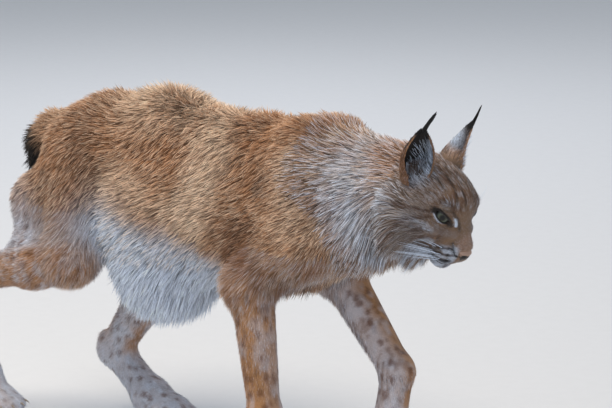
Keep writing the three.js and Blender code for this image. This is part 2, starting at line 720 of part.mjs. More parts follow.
// Head: the skull with lids round each eye, the line of the mouth, and room for the nose and the ears.
const headMesh = meshOf(
  (p) => smoothMin(SKULL(p), smoothMin(TRUNK(p), NECK(p), 70), 24),
  V(190, -110, 330),
  V(420, 110, 600),
  cube(10.8),
);
const headSolids = [largest(keep(headMesh, ...HEAD_CUT))];
for (const side of [-1, 1]) {
  const eye = V(EYE_AT.x, side * EYE_AT.y, EYE_AT.z);
  headSolids.push(placed(ball(EYE_RADIUS + 2.6, 2, eye)));
}
let head = joined(headSolids);
for (const side of [-1, 1]) {
  const tag = side > 0 ? "left" : "right";
  const eye = V(EYE_AT.x, side * EYE_AT.y, EYE_AT.z);
  head = head.subtract(placed(almond(side)));
  head = head.subtract(placed(ball(EYE_RADIUS + GAP, 2, eye)));
  head = head.subtract(ear(side, 0.5));
  pieces[`eye_${tag}`] = placed(ball(EYE_RADIUS, 2, eye));
  pieces[`ear_${tag}`] = largest(joined([ear(side, 0), earTuft(side)]));
}

// The mouth runs from under the nose out round the muzzle and back.
const mouth = [
  [-1, 62, 25, -60],
  [-1, 74, 21, -62],
  [-1, 86, 13, -62],
  [0, 93, 0, -57],
  [1, 86, 13, -62],
  [1, 74, 21, -62],
  [1, 62, 25, -60],
].map(([side, x, y, z]) => settle(SKULL, onBody(V(x, side * y, z)))[0]);
head = head.subtract(rod(mouth, mouth.map(() => 1.7), mouth.map(() => 2.4), 6, V(0.3, 0, 1)));
const philtrum = [V(104, 0, -40), V(101, 0, -50), V(94, 0, -58)].map(onBody);
head = head.subtract(rod(philtrum, [2, 1.6, 1.6], [1.6, 1.6, 1.6], 6, V(0, 1, 0)));
head = head.subtract(placed(noseLeather(GAP + 0.3)));

// The ruff: rows of locks from behind each cheek round under the jaw, bent clear of the neck.
const neckRoom = drop(
  meshOf(neckAndHead, V(60, -150, 320), V(340, 150, 640), cube(24), 2),
  HEAD_CUT[0].clone().addScaledVector(HEAD_CUT[1].clone().normalize(), GAP),
  HEAD_CUT[1],
);
const ruff = [];
for (const side of [-1, 1])
  for (const [row, count, length] of [[0, 5, 66], [1, 4, 58]])
    for (let n = 0; n < count; n++) {
      const t = (n + 0.3 * row) / (count - 1 + 0.6);
      const near = onBody(V(-6 + 14 * row + 26 * t, side * (66 - 30 * t * t), -2 - 70 * t - 6 * row));
      const lie = V(-0.4 + 0.25 * t, side * (0.3 - 0.25 * t), -1);
      ruff.push(lock(SKULL, near, lie, length * (1 - 0.2 * t), 18, { lift: 0.4, sag: 0.12 }));
    }
for (const across of [-10, 10]) {
  const near = onBody(V(34, across, -96));
  ruff.push(lock(SKULL, near, V(-0.8, across / 60, -0.6), 36, 15, { lift: 0.5, sag: 0.2 }));
}
head = joined([head, joined(ruff).subtract(neckRoom)]);
pieces.head = largest(head);

// Coat colours.
const finishes = {
  coat_rufous: new THREE.MeshStandardMaterial({ color: 0xb08054, roughness: 0.9, name: "coat_rufous" }),
  coat_pale: new THREE.MeshStandardMaterial({ color: 0xcbb593, roughness: 0.9, name: "coat_pale" }),
  coat_black: new THREE.MeshStandardMaterial({ color: 0x1d1815, roughness: 0.9, name: "coat_black" }),
  nose_leather: new THREE.MeshStandardMaterial({ color: 0x5a3f37, roughness: 0.5, name: "nose_leather" }),
  eye_cornea: new THREE.MeshStandardMaterial({ color: 0x8e8f66, roughness: 0.1, name: "eye_cornea" }),
};
function finishOf(name) {
  if (name.startsWith("eye")) return finishes.eye_cornea;
  if (name === "nose") return finishes.nose_leather;
  if (name === "tail_tip") return finishes.coat_black;
  if (/^(ear|forepaw|hindpaw)/.test(name)) return finishes.coat_pale;
  return finishes.coat_rufous;
}

// The whole animal, with the middle of its box over the origin.
const bounds = new THREE.Box3();
for (const solid of Object.values(pieces)) {
  const { min, max } = solid.boundingBox();
  bounds.expandByPoint(V(...min)).expandByPoint(V(...max));
}
const shift = bounds.getCenter(V(0, 0, 0)).negate().setZ(-bounds.min.z);
const root = new THREE.Group();
for (const [name, solid] of Object.entries(pieces)) {
  const mesh = new THREE.Mesh(geometryOf(solid.translate(shift.toArray())), finishOf(name));
  mesh.name = name;
  root.add(mesh);
}
export default root;
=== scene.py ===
import math

import bpy
import numpy as np
from mathutils import Matrix, Vector, kdtree


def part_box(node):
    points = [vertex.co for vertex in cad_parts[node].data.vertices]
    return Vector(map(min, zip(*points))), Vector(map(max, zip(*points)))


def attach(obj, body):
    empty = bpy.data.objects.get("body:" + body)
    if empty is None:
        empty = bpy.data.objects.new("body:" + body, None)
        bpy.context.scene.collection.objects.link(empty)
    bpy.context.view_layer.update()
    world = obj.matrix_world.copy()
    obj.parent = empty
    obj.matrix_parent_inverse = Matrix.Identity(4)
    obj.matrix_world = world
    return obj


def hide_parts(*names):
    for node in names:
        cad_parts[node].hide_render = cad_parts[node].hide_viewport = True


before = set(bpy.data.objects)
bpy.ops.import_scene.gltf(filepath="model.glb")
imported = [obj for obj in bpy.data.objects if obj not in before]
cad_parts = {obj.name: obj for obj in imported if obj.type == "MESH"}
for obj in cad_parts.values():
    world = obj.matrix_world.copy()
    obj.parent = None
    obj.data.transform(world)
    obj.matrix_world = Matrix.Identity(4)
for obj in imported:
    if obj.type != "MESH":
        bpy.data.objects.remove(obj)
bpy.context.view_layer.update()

bl_info = {
    "name": "Eurasian lynx in mid stride",
    "version": (1, 0, 0),
    "blender": (4, 5, 0),
    "location": "3D View > Sidebar > Lynx",
    "description": "Skin, coat, face and studio for a life-size lynx on its packed frame",
    "category": "Object",
}

# Sizes in millimetres, and places on the body, measured from the floor between the paws.
WITHERS = 596.0
CROUP = 612.0
CHEST_WIDTH = 200.0
BELLY_WIDTH = 226.0
HIP_WIDTH = 178.0
CHEST_FLOOR = 298.0
BELLY_FLOOR = 226.0
EYE_RADIUS = 15.0
EAR_HEIGHT = 78.0
TAIL_THICK = 30.0
HEAD_PITCH = 31.5
HEAD_YAW = -0.6
HEAD_ROLL = -3.0


def at(x, y, z):
    return np.array([x, y, z], dtype=float)


TAIL_ROOT = at(-482, 0, 500)
TAIL_BEND = at(-530, 3, 502)
TAIL_DROP = at(-560, 6, 476)
TAIL_END = at(-572, 8, 446)
HEAD_AT = at(281, 0, 499)
EYE_AT = at(54, 28.5, 7)
EYE_TURN = 0.9
NOSE_AT = at(104, 0, -33)

# The camera, fitted to the picture: what it looks at, its turn and rise in degrees, how far it stands in
# metres, and its focal length in pixels of a picture 612 wide.
CAMERA_TARGET = at(32.6, 0, 447)
CAMERA_TURN = 41.0
CAMERA_RISE = 12.0
CAMERA_FAR = 5.0
FOCAL_PIXELS = 3165.0
PICTURE_WIDTH = 612.0
SENSOR_WIDTH = 36.0

# Soft round lamps: name, place and width in metres, power in watts, colour.
LAMPS = (
    ("key", (-0.6, -1.2, 3.4), 2.2, 90.0, "#fff3e2"),
    ("fill", (3.4, -2.6, 1.6), 2.6, 30.0, "#e2ecff"),
    ("back", (-2.4, 2.6, 2.6), 2.0, 36.0, "#f4f7ff"),
)
LAMPS_AIM = (0, 0, 0.4)

LEGS = {
    "fore_right": dict(
        side=-1, blade=at(56, -38, 552), shoulder=at(88, -68, 410), elbow=at(-26, -84, 322),
        wrist=at(10, -74, 114), knuckle=at(14, -71, 48), toe=at(48, -70, 26),
    ),
    "fore_left": dict(
        side=1, blade=at(72, 38, 548), shoulder=at(106, 68, 412), elbow=at(20, 84, 322),
        wrist=at(162, 72, 184), knuckle=at(146, 70, 82), toe=at(158, 70, 29),
    ),
    "hind_right": dict(
        side=-1, hip=at(-402, -52, 484), knee=at(-412, -84, 306), hock=at(-646, -80, 240),
        knuckle=at(-640, -76, 64), toe=at(-606, -74, 27),
    ),
    "hind_left": dict(
        side=1, hip=at(-402, 52, 478), knee=at(-330, 82, 280), hock=at(-470, 78, 112),
        knuckle=at(-380, 74, 42), toe=at(-336, 72, 27),
    ),
}


def turn(axis, degrees):
    return np.array(Matrix.Rotation(math.radians(degrees), 3, axis))


HEAD_TURN = turn("Z", HEAD_YAW) @ turn("Y", HEAD_PITCH) @ turn("X", HEAD_ROLL)


def on_body(p):
    """From the head's own frame, x along the snout, to the body's."""
    return np.asarray(p, dtype=float) @ HEAD_TURN.T + HEAD_AT


def on_head(p):
    """From the body's frame to the head's own."""
    return (np.asarray(p, dtype=float) - HEAD_AT) @ HEAD_TURN


def eye_place(side):
    return at(EYE_AT[0], side * EYE_AT[1], EYE_AT[2])


def row_shift():
    """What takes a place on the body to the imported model's frame, found from its two eyes."""
    shifts = []
    for side, name in ((1, "eye_left"), (-1, "eye_right")):
        low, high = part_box(name)
        middle = 500.0 * (np.array(low) + np.array(high))
        shifts.append(middle - on_body(eye_place(side)))
    return np.mean(shifts, axis=0)


SHIFT = row_shift()


def to_row(p):
    """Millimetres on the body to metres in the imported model's frame."""
    return (np.asarray(p, dtype=float) + SHIFT) / 1000.0


# Round shapes as distance fields over many points at once: negative inside.
def ellipsoid(centre, radii, lean=0.0):
    c, s = math.cos(math.radians(lean)), math.sin(math.radians(lean))

    def distance(p):
        dx = p[:, 0] - centre[0]
        dz = p[:, 2] - centre[2]
        x = (c * dx - s * dz) / radii[0]
        y = (p[:, 1] - centre[1]) / radii[1]
        z = (s * dx + c * dz) / radii[2]
        far = np.sqrt(x * x + y * y + z * z)
        slope = np.sqrt((x / radii[0]) ** 2 + (y / radii[1]) ** 2 + (z / radii[2]) ** 2)
        return far * (far - 1.0) / np.maximum(slope, 1e-6)

    return distance


def off_line(p, a, b):
    """How far along the line from a to b each point lies, from 0 to 1, and its way from the line."""
    run = np.asarray(b, dtype=float) - a
    d = p - a
    t = np.clip((d @ run) / float(run @ run), 0.0, 1.0)
    return t, d - t[:, None] * run


def taper(a, b, ra, rb, widen=1.0):
    """A round length from a to b, with its radius at each end, wider sideways by widen."""

    def distance(p):
        t, off = off_line(p, a, b)
        off[:, 1] /= widen
        return np.sqrt((off * off).sum(axis=1)) - ra - t * (rb - ra)

    return distance


def smooth_min(a, b, k):
    """The nearer of two shapes, with their seam rounded over k."""
    h = np.maximum(k - np.abs(a - b), 0.0) / k
    return np.minimum(a, b) - h * h * k / 4.0


def blend(pairs):
    """Shapes melted together, each with how softly it joins, in millimetres."""

    def distance(p):
        d = np.full(len(p), 1e3)
        for shape, soft in pairs:
            d = smooth_min(d, shape(p), soft)
        return d

    return distance


# Round masses of the trunk and throat: middle, half sizes, and how far they lean, in degrees.
CHEST_DEEP = (WITHERS - CHEST_FLOOR) / 2 - 10
BELLY_DEEP = (CROUP - BELLY_FLOOR) / 2 - 8
CHEST = (at(-4, 0, (WITHERS + CHEST_FLOOR) / 2), (156, CHEST_WIDTH / 2, CHEST_DEEP), 4)
WAIST = (at(-140, 0, 438), (200, CHEST_WIDTH / 2 + 3, 144), 0)
BELLY = (at(-262, 0, (CROUP + BELLY_FLOOR) / 2 - 4), (146, BELLY_WIDTH / 2, BELLY_DEEP), 3)
RUMP = (at(-380, 0, 498), (108, HIP_WIDTH / 2, 80), -16)
THROAT = (at(168, 0, 438), (70, 74, 74), 20)

# Tapering lengths: from, to, and the radius at each end.
TAIL_SET = (at(-392, 0, 520), TAIL_ROOT, 56, 34)
NECK_LENGTH = (at(90, 0, 486), at(226, 0, 500), 96, 74)
TAIL_LENGTHS = (
    (TAIL_ROOT, TAIL_BEND, TAIL_THICK + 4, TAIL_THICK),
    (TAIL_BEND, TAIL_DROP, TAIL_THICK, TAIL_THICK + 1),
    (TAIL_DROP, TAIL_END, TAIL_THICK + 1, TAIL_THICK - 4),
)

TRUNK = blend([*((ellipsoid(*mass), 40) for mass in (CHEST, WAIST, BELLY, RUMP)), (taper(*TAIL_SET), 40)])
NECK = blend([(taper(*NECK_LENGTH), 40), (ellipsoid(*THROAT), 40)])
TAIL = blend([(taper(*length), soft) for length, soft in zip(TAIL_LENGTHS, (30, 12, 12))])


def toe_tips(knuckle, toe):
    """For each of the four toes: its number from the middle, the way it points, and its tip's middle."""
    ahead = toe - knuckle
    heading = math.atan2(ahead[1], ahead[0])
    for n in (-1.5, -0.5, 0.5, 1.5):
        spread = heading + n * 0.3
        way = at(math.cos(spread), math.sin(spread), 0)
        reach = 36 - 5 * abs(n)
        yield n, way, toe + at(reach * way[0], reach * way[1] + n * 8, -7)


def paw(knuckle, toe, side):
    """Four toes spread round the line from knuckle to toe, over a broad pad."""
    toes = [(taper(toe + at(0, n * 12, 4), tip, 19, 16), 9) for n, _, tip in toe_tips(knuckle, toe)]
    pad = (ellipsoid(toe + at(-6, side, -4), (42, 38, 24)), 20)
    return [(taper(knuckle, toe, 33, 27, 1.15), 20), pad, *toes]


def foreleg(side, blade, shoulder, elbow, wrist, knuckle, toe):
    point = elbow + at(-22, 0, 2)
    upper = [
        (taper(blade, shoulder, 36, 52), 40),
        (taper(shoulder, elbow, 54, 42), 50),
    ]
    lower = [
        (taper(elbow + at(20, 0, -8), wrist, 42, 33), 30),
        (taper(point, elbow, 22, 34), 20),
        (taper(wrist, knuckle, 33, 33, 1.08), 16),
        *paw(knuckle, toe, side),
    ]
    return upper, lower


def hindleg(side, hip, knee, hock, knuckle, toe):
    rise = (hock - knuckle) * at(1, 0, 1)
    heel = hock + rise * 26 / np.linalg.norm(rise)
    ham = hip + 0.4 * (hock - hip) + at(0, side * 8, 6)
    calf = knee + 0.35 * (hock - knee) + at(-4, 0, 6)
    upper = [
        (taper(hip, knee, 70, 50), 40),
        (taper(hip + at(-22, 0, -6), ham, 52, 42), 40),
    ]
    lower = [
        (taper(knee, calf, 50, 44), 30),
        (taper(ham, calf, 42, 40), 40),
        (taper(calf, hock, 44, 33), 30),
        (taper(hock, heel, 28, 19), 16),
        (taper(hock, knuckle, 31, 30, 1.05), 20),
        *paw(knuckle, toe, side),
    ]
    return upper, lower


LIMBS = {name: (hindleg if "hip" in leg else foreleg)(**leg) for name, leg in LEGS.items()}
UPPER = {name: blend(pair[0]) for name, pair in LIMBS.items()}
LOWER = {name: blend(pair[1]) for name, pair in LIMBS.items()}
WHOLE_LEG = {name: blend(pair[0] + pair[1]) for name, pair in LIMBS.items()}


def both(make):
    """The same shapes on the right and on the left."""
    return make(-1) + make(1)


SKULL_LOCAL = blend([
    (ellipsoid(at(2, 0, 4), (74, 63, 58)), 20),
    (ellipsoid(at(42, 0, 22), (34, 36, 28)), 24),
    *both(lambda s: [
        (ellipsoid(at(16, s * 42, -20), (44, 30, 38)), 24),
        (taper(at(-4, s * 50, -18), at(6, s * 44, -52), 24, 16), 24),
        (ellipsoid(at(50, s * 26, 18), (17, 16, 11)), 16),
        (ellipsoid(at(58, s * 30, -22), (24, 20, 17)), 18),
        (ellipsoid(at(83, s * 15, -46), (21, 18, 17)), 9),
    ]),
    (taper(at(45, 0, -18), at(84, 0, -34), 36, 24), 20),
    (taper(at(52, 0, 14), at(97, 0, -22), 17, 13), 14),
    (taper(at(8, 0, -58), at(70, 0, -66), 34, 17), 20),
    (ellipsoid(at(76, 0, -70), (15, 15, 11)), 10),
])


def skull(p):
    return SKULL_LOCAL(on_head(p))


def body(p):
    """The coat's outer surface, as the solids have it."""
    d = smooth_min(TRUNK(p), NECK(p), 70)
    d = smooth_min(d, TAIL(p), 30)
    for leg in WHOLE_LEG.values():
        d = smooth_min(d, leg(p), 45)
    return smooth_min(d, skull(p), 24)


def ramp(value, low, high):
    """0 at low, 1 at high, smooth between."""
    t = np.clip((value - low) / (high - low), 0.0, 1.0)
    return t * t * (3.0 - 2.0 * t)


def mix(a, b, t):
    """From a to b by t, where t may be one number or one for each row."""
    t = np.asarray(t, dtype=float)
    wide = t.ndim == 1 and max(np.ndim(a), np.ndim(b)) > 1
    return a + (b - a) * (t[:, None] if wide else t)


def shares(p):
    """How far each point belongs to the trunk, neck, head, tail and each leg's upper and lower part."""
    fields = {
        "trunk": TRUNK(p),
        "neck": NECK(p),
        "head": skull(p),
        "tail": TAIL(p),
    }
    for name in LEGS:
        fields["upper_" + name] = UPPER[name](p)
        fields["lower_" + name] = LOWER[name](p)
    names = list(fields)
    table = np.stack([fields[n] for n in names])
    weight = np.exp(-(table - table.min(axis=0)) / 10.0)
    weight /= weight.sum(axis=0)
    return dict(zip(names, weight))


def leg_share(share, part):
    """The shares of that part of all four legs together."""
    return sum(share[f"{part}_{name}"] for name in LEGS)


def coat_depth(p, share=None):
    """How far the skin lies under the coat's outer surface."""
    share = share or shares(p)
    h = on_head(p)
    face = mix(7.0, 2.2, ramp(h[:, 0], -10, 62))
    low = ramp(p[:, 2], 40, 150)
    return (
        15.0 * share["trunk"]
        + 14.0 * share["neck"]
        + face * share["head"]
        + 12.0 * share["tail"]
        + 12.0 * leg_share(share, "upper")
        + (3.5 + 4.5 * low) * leg_share(share, "lower")
    )


def value_noise(p, size, seed):
    """Smooth noise from -1 to 1 with lumps about `size` across."""
    q = p / size
    cell = np.floor(q).astype(np.int64)
    f = q - cell
    f = f * f * (3 - 2 * f)
    total = np.zeros(len(p))
    for corner in range(8):
        step = np.array([corner & 1, (corner >> 1) & 1, corner >> 2])
        n = cell + step
        mixed = (n[:, 0] * 73856093) ^ (n[:, 1] * 19349663) ^ (n[:, 2] * 83492791) ^ (seed * 2654435761)
        mixed = (mixed ^ (mixed >> 13)) * 1274126177
        value = ((mixed ^ (mixed >> 16)) & 0xFFFF) / 32767.5 - 1.0
        weight = np.prod(np.where(step == 1, f, 1 - f), axis=1)
        total += value * weight
    return total


def slope_of(field, p, h=0.6):
    """Which way, and how steeply, a field grows at each point."""
    slope = np.empty_like(p)
    for axis in range(3):
        step = np.zeros(3)
        step[axis] = h
        slope[:, axis] = (field(p + step) - field(p - step)) / (2 * h)
    return slope


def drawn_onto(field, p, rounds=4):
    """Moves points along the field's slope until they lie on its surface."""
    p = p.copy()
    for _ in range(rounds):
        slope = slope_of(field, p)
        size = np.maximum((slope * slope).sum(axis=1), 0.2)
        p -= slope * (np.clip(field(p), -12, 12) / size)[:, None]
    return p


def unit(v):
    return v / np.maximum(np.linalg.norm(v, axis=-1, keepdims=True), 1e-9)


# Colours, as they look in the studio's light.
def linear(code):
    """An sRGB hex colour as linear red, green and blue."""
    channels = [int(code[n:n + 2], 16) / 255.0 for n in (1, 3, 5)]
    return tuple(c / 12.92 if c <= 0.04045 else ((c + 0.055) / 1.055) ** 2.4 for c in channels)


def colour_property(name, code, description):
    return bpy.props.FloatVectorProperty(
        name=name, description=description, default=linear(code), size=3, min=0.0, max=1.0, subtype="COLOR"
    )


def length_property(name, metres, description):
    return bpy.props.FloatProperty(name=name, description=description, default=metres, min=0.0, unit="LENGTH")


class LynxCoat(bpy.types.PropertyGroup):
    """How full the coat is, and how long its hair is by region."""

    fullness: bpy.props.FloatProperty(
        name="Fullness", description="Share of the full coat's tufts that is made",
        default=1.0, min=0.05, max=1.0, subtype="FACTOR",
    )
    back: length_property("Back", 0.036, "Hair along the spine")
    flank: length_property("Flank", 0.026, "Hair on the sides of the chest and belly")
    belly: length_property("Belly", 0.056, "Hair that hangs from the belly")
    neck: length_property("Neck", 0.030, "Hair on the neck and throat")
    ruff: length_property("Ruff", 0.060, "Hair that hangs from the cheeks")
    crown: length_property("Crown", 0.014, "Hair between the ears")
    face: length_property("Face", 0.006, "Hair round the eyes and on the muzzle")
    thigh: length_property("Thigh", 0.021, "Hair on the shoulders and thighs")
    leg: length_property("Leg", 0.012, "Hair on the lower legs")
    foot: length_property("Foot", 0.008, "Hair on the paws")
    tail: length_property("Tail", 0.028, "Hair on the tail")
    ear_tuft: length_property("Ear tuft", 0.046, "The black tuft on each ear")


class LynxColours(bpy.types.PropertyGroup):
    """The colours of the coat, the skin and the eyes."""

    rufous: colour_property("Rufous", "#b07c52", "Back and upper flank")
    cream: colour_property("Cream", "#f0d6ba", "Pale tips on the back, flank and neck")
    # Brown, darkened, is also used as painted shade under the neck and the chest.
    brown: colour_property("Brown", "#80563a", "Rump, thigh and behind the elbow")
    under: colour_property("Undercoat", "#8d6f58", "The coat's roots")
    # White hair, with a blue tint painted in as the cool light of the shaded belly and legs.
    white: colour_property("White", "#d9e3f1", "Belly, chin and inside of the legs")
    grey: colour_property("Grey", "#9a8f86", "Cheek and side of the neck")
    spot: colour_property("Spot", "#653b22", "Spots on the legs and flank")
    black: colour_property("Black", "#17120f", "Tail tip, ear tip and lines of the face")
    tan: colour_property("Tan", "#bb8757", "Legs")
    face: colour_property("Face", "#8a6f58", "Forehead and bridge of the nose")
    iris: colour_property("Iris", "#5f665c", "Iris of the eye")
    leather: colour_property("Nose leather", "#a98976", "Top of the nose pad")


def colour(name):
    """A colour of the lynx, linear."""
    return np.array(getattr(bpy.context.scene.lynx_colours, name)[:])


def hair(name):
    """A length of the coat, in millimetres."""
    return 1000.0 * getattr(bpy.context.scene.lynx_coat, name)


def fullness():
    return bpy.context.scene.lynx_coat.fullness


def cell_distance(p, cell, seed):
    """How far each point lies from the nearest of many scattered points, one to each cell."""
    q = p / cell
    base = np.floor(q).astype(np.int64)
    nearest = np.full(len(p), 9.0)
    for n in range(27):
        step = np.array([n % 3 - 1, (n // 3) % 3 - 1, n // 9 - 1])
        c = base + step
        place = np.empty_like(q)
        for axis, prime in enumerate((73856093, 19349663, 83492791)):
            mixed = (c[:, 0] * 92837111) ^ (c[:, 1] * 689287499) ^ (c[:, 2] * 283923481)
            mixed ^= seed * prime + axis * 7919
            mixed = (mixed ^ (mixed >> 15)) * 2246822519
            place[:, axis] = c[:, axis] + 0.15 + 0.7 * (((mixed ^ (mixed >> 13)) & 0xFFFF) / 65535.0)
        nearest = np.minimum(nearest, np.sqrt(((q - place) ** 2).sum(axis=1)))
    return nearest * cell


def left_side(h):
    """The same places, all on the left."""
    return np.stack([h[:, 0], np.abs(h[:, 1]), h[:, 2]], axis=1)


def stroke(h, a, b, width, top=False):
    """1 along a line on both sides of the face, seen from the side or from the top, and 0 away from it."""
    axes = [0, 1] if top else [0, 2]
    q = np.abs(h[:, axes]) if top else h[:, axes]
    start, end = np.asarray(a, dtype=float)[axes], np.asarray(b, dtype=float)[axes]
    off = np.sqrt((off_line(q, start, end)[1] ** 2).sum(axis=1))
    reach = ramp(h[:, 2], 24, 34) if top else ramp(np.abs(h[:, 1]), 8, 13)
    return (1.0 - ramp(off, 0.5 * width, 1.3 * width)) * reach


def line_distance(h, points):
    """How far places in the head's frame lie from a line of points, on both sides of the face."""
    q = left_side(h)
    best = np.full(len(h), 1e3)
    for a, b in zip(points[:-1], points[1:]):
        best = np.minimum(best, np.sqrt((off_line(q, a, b)[1] ** 2).sum(axis=1)))
    return best


# Lines of the face on its left half, in the head's frame: the mouth, the dark edge of the lower lip, the
# groove under the nose, and soft folds of the cheek and brow.
MOUTH = [
    at(58, 27, -58), at(66, 24, -61), at(74, 21, -62.5), at(81, 17, -63), at(87, 12, -62), at(93, 0, -58),
]
LIP_EDGE = [(56, 22, -68), (73, 25, -64), (90, 28, -57), (100, 27, -49)]
PHILTRUM = [at(104, 0, -40), at(101, 0, -50), at(94, 0, -58)]
CREASES = [
    [at(70, 24, -16), at(62, 38, -22), at(46, 48, -22)],
    [at(78, 24, -30), at(66, 36, -40), at(52, 44, -50)],
    [at(76, 12, 16), at(66, 14, 28), at(58, 12, 36)],
]


# Where the whiskers leave the muzzle, in the head's frame: rows from the nose back.
WHISKER_ROWS = [(row, place) for row in range(4) for place in range(5 if row in (1, 2) else 4)]


def whisker_place(row, place, side):
    """Where a whisker of that row and place leaves the muzzle."""
    return at(93 + 6.0 * row - 1.6 * row * row - 9.8 * place, side * 30.0, -31 - 8.8 * row - 4.8 * place)


# Lines drawn in the hair of the crown, seen from the top: from, to, width.
CROWN_LINES = (
    ((23, 17.5, 58), (66, 25, 38), 2.0),
    ((46, 12, 54), (80, 10, 22), 1.8),
    ((4, 7, 60), (50, 4, 54), 1.8),
    ((-4, 29, 54), (40, 33, 40), 1.8),
)

# Lines drawn in the hair of the cheeks, seen from the side, each over the one before: from, to, width, how
# strong they are, how much of that follows the strands, colour, and how light it is made.
CHEEK_LINES = (
    ((84, 30, -12), (62, 52, -14), 5.0, 0.12, 0.0, "white", 0.6),
    ((60, 54, -14), (34, 66, -16), 7.0, 0.3, -0.5, "pale", 1.0),
    ((72, 44, -16), (44, 62, -24), 6.0, 0.3, 0.5, "spot", 0.5),
    ((76, 40, -20), (52, 58, -38), 3.0, 0.5, 0.0, "spot", 0.8),
    ((70, 42, -30), (44, 52, -52), 4.0, 0.5, 0.0, "pale", 1.0),
    ((66, 38, 5), (74, 31, 0), 3.6, 1.0, 0.0, "black", 1.5),
    ((74.5, 30, 12), (79, 25, 1), 1.5, 1.0, 0.0, "white", 1.1),
    ((70, 28, 22), (86, 20, -4), 1.6, 0.7, 0.0, "black", 2.6),
    ((52, 56, 11), (34, 67, 1), 2.0, 0.9, 0.0, "spot", 0.5),
    ((34, 67, 1), (6, 76, -14), 3.0, 0.6, 0.3, "spot", 0.6),
    ((50, 57, 1), (29, 71, -24), 2.4, 0.75, 0.0, "spot", 0.55),
    ((29, 71, -24), (12, 62, -62), 4.0, 0.6, 0.3, "spot", 0.6),
)


def face_marks(h, mid, tip, root):
    """Adds the pattern of the face to the colours of hair at places in the head's frame."""
    y = np.abs(h[:, 1])
    white, black, spot = colour("white"), colour("black"), colour("spot")
    grey, face, rufous = colour("grey"), colour("face"), colour("rufous")
    tints = {"white": white, "black": black, "spot": spot, "pale": mix(white, grey, 0.3)}

    def put(weight, c, roots=0.6):
        w = np.clip(weight, 0.0, 1.0)
        mid[:] = mix(mid, c, w)
        tip[:] = mix(tip, c * 1.1, w)
        root[:] = mix(root, c * 0.8, w * roots)

    # Brown over the brow, greyer to the sides, with warm, dark and pale strands on the crown.
    strands = value_noise(h * np.array([0.35, 1.5, 0.6]), 3.4, 5)
    put(np.full(len(h), 0.9), mix(face[None, :] * 0.7, grey[None, :] * 0.85, ramp(y, 34, 66) * 0.5))
    put(ramp(h[:, 2], 12, 40) * ramp(h[:, 0], -70, -10) * 0.5 * ramp(strands, -0.2, 0.7), rufous * 0.9)
    crown = ramp(h[:, 2], 14, 30)
    put(crown * ramp(strands, 0.0, 0.35) * 0.65, spot * 0.5)
    put(crown * ramp(-strands, 0.2, 0.5) * 0.35, mix(white, face, 0.3))
    for start, end, width in CROWN_LINES:
        put(stroke(h, start, end, width, True) * (0.62 + 0.3 * strands), black * 1.8)

    # The bridge of the nose, the pale brow and the hair round the nose pad.
    bridge = ramp(h[:, 0], 62, 76) * (1 - ramp(y, 11, 18)) * ramp(h[:, 2], -20, 0)
    put(bridge * 0.5, face * 0.95)
    put(stroke(h, (56, 46, 22), (64, 36, 24), 3.0) * 0.45, mix(colour("cream"), face, 0.35))
    round_pad = ramp(h[:, 0], 90, 100) * (1 - ramp(y, 14, 19)) * ramp(h[:, 2], -34, -26)
    put(round_pad * 0.5, colour("leather") * 1.2)
    for start, end, width, strong, strand, name, light in CHEEK_LINES:
        put(stroke(h, start, end, width) * (strong + strand * strands), tints[name] * light)

    # The white muzzle with dark rows, the chin in painted shade, and the dark curl behind the nostril.
    muzzle = ramp(h[:, 0], 62, 80) * ramp(y, 12, 19) * (1 - ramp(h[:, 2] - 0.45 * (h[:, 0] - 93), -33, -22))
    put(muzzle * 0.85, mix((white * 0.8)[None, :], (grey * 0.45)[None, :], ramp(strands, 0.0, 0.5)))
    for row in range(4):
        start, end = whisker_place(row, -0.3, 1.0), whisker_place(row, 2.6, 1.0)
        put(muzzle * stroke(h, start, end, 2.1) * 0.85, spot * 0.5)
    # Painted shade: the chin's white hair darkened where the jaw is tucked under.
    put((1 - ramp(h[:, 2], -66, -58)) * ramp(h[:, 0], 40, 66), mix(white, spot, 0.6) * 0.45)
    put(stroke(h, (90, 24, -22), (96, 24, -28), 1.1), black * 0.9, 1.0)
    put(stroke(h, (96, 24, -28), (105, 21, -38), 1.3), black * 0.9, 1.0)

    # A dark dot round each whisker, and the lips.
    dots = np.zeros(len(h))
    for row, place in WHISKER_ROWS:
        centre = whisker_place(row, place, 1.0)
        away = (h[:, 0] - centre[0]) ** 2 + (1.2 * (h[:, 2] - centre[2])) ** 2
        dots = np.maximum(dots, (1 - ramp(np.sqrt(away), 1.8, 3.2)) * (y > 13))
    put(dots * 0.95, black * 1.3, 1.0)
    for start, end in zip(LIP_EDGE[:-1], LIP_EDGE[1:]):
        put(stroke(h, start, end, 3.2) * 0.95, black * 1.4, 1.0)
    put((1 - ramp(line_distance(h, MOUTH), 3.0, 7.0)) * 0.9, black * 1.3, 1.0)

    # Dark rims over the eyes and a fine pale line under them.
    for side in (-1, 1):
        centre, _, along, up = eye_frame(side)
        ahead, above = (h - centre) @ along, (h - centre) @ up
        edge = in_opening(h, side)
        over = ramp(above - 0.3 * ahead, -4.0, 0.0)
        put((1 - ramp(edge, 1.3, 1.75)) * over, black * 1.5, 1.0)
        below = (1 - over) * (1 - ramp(ahead, 5.0, 10.0))
        put(ramp(edge, 1.15, 1.25) * (1 - ramp(edge, 1.35, 1.6)) * below * 0.85, white, 1.0)


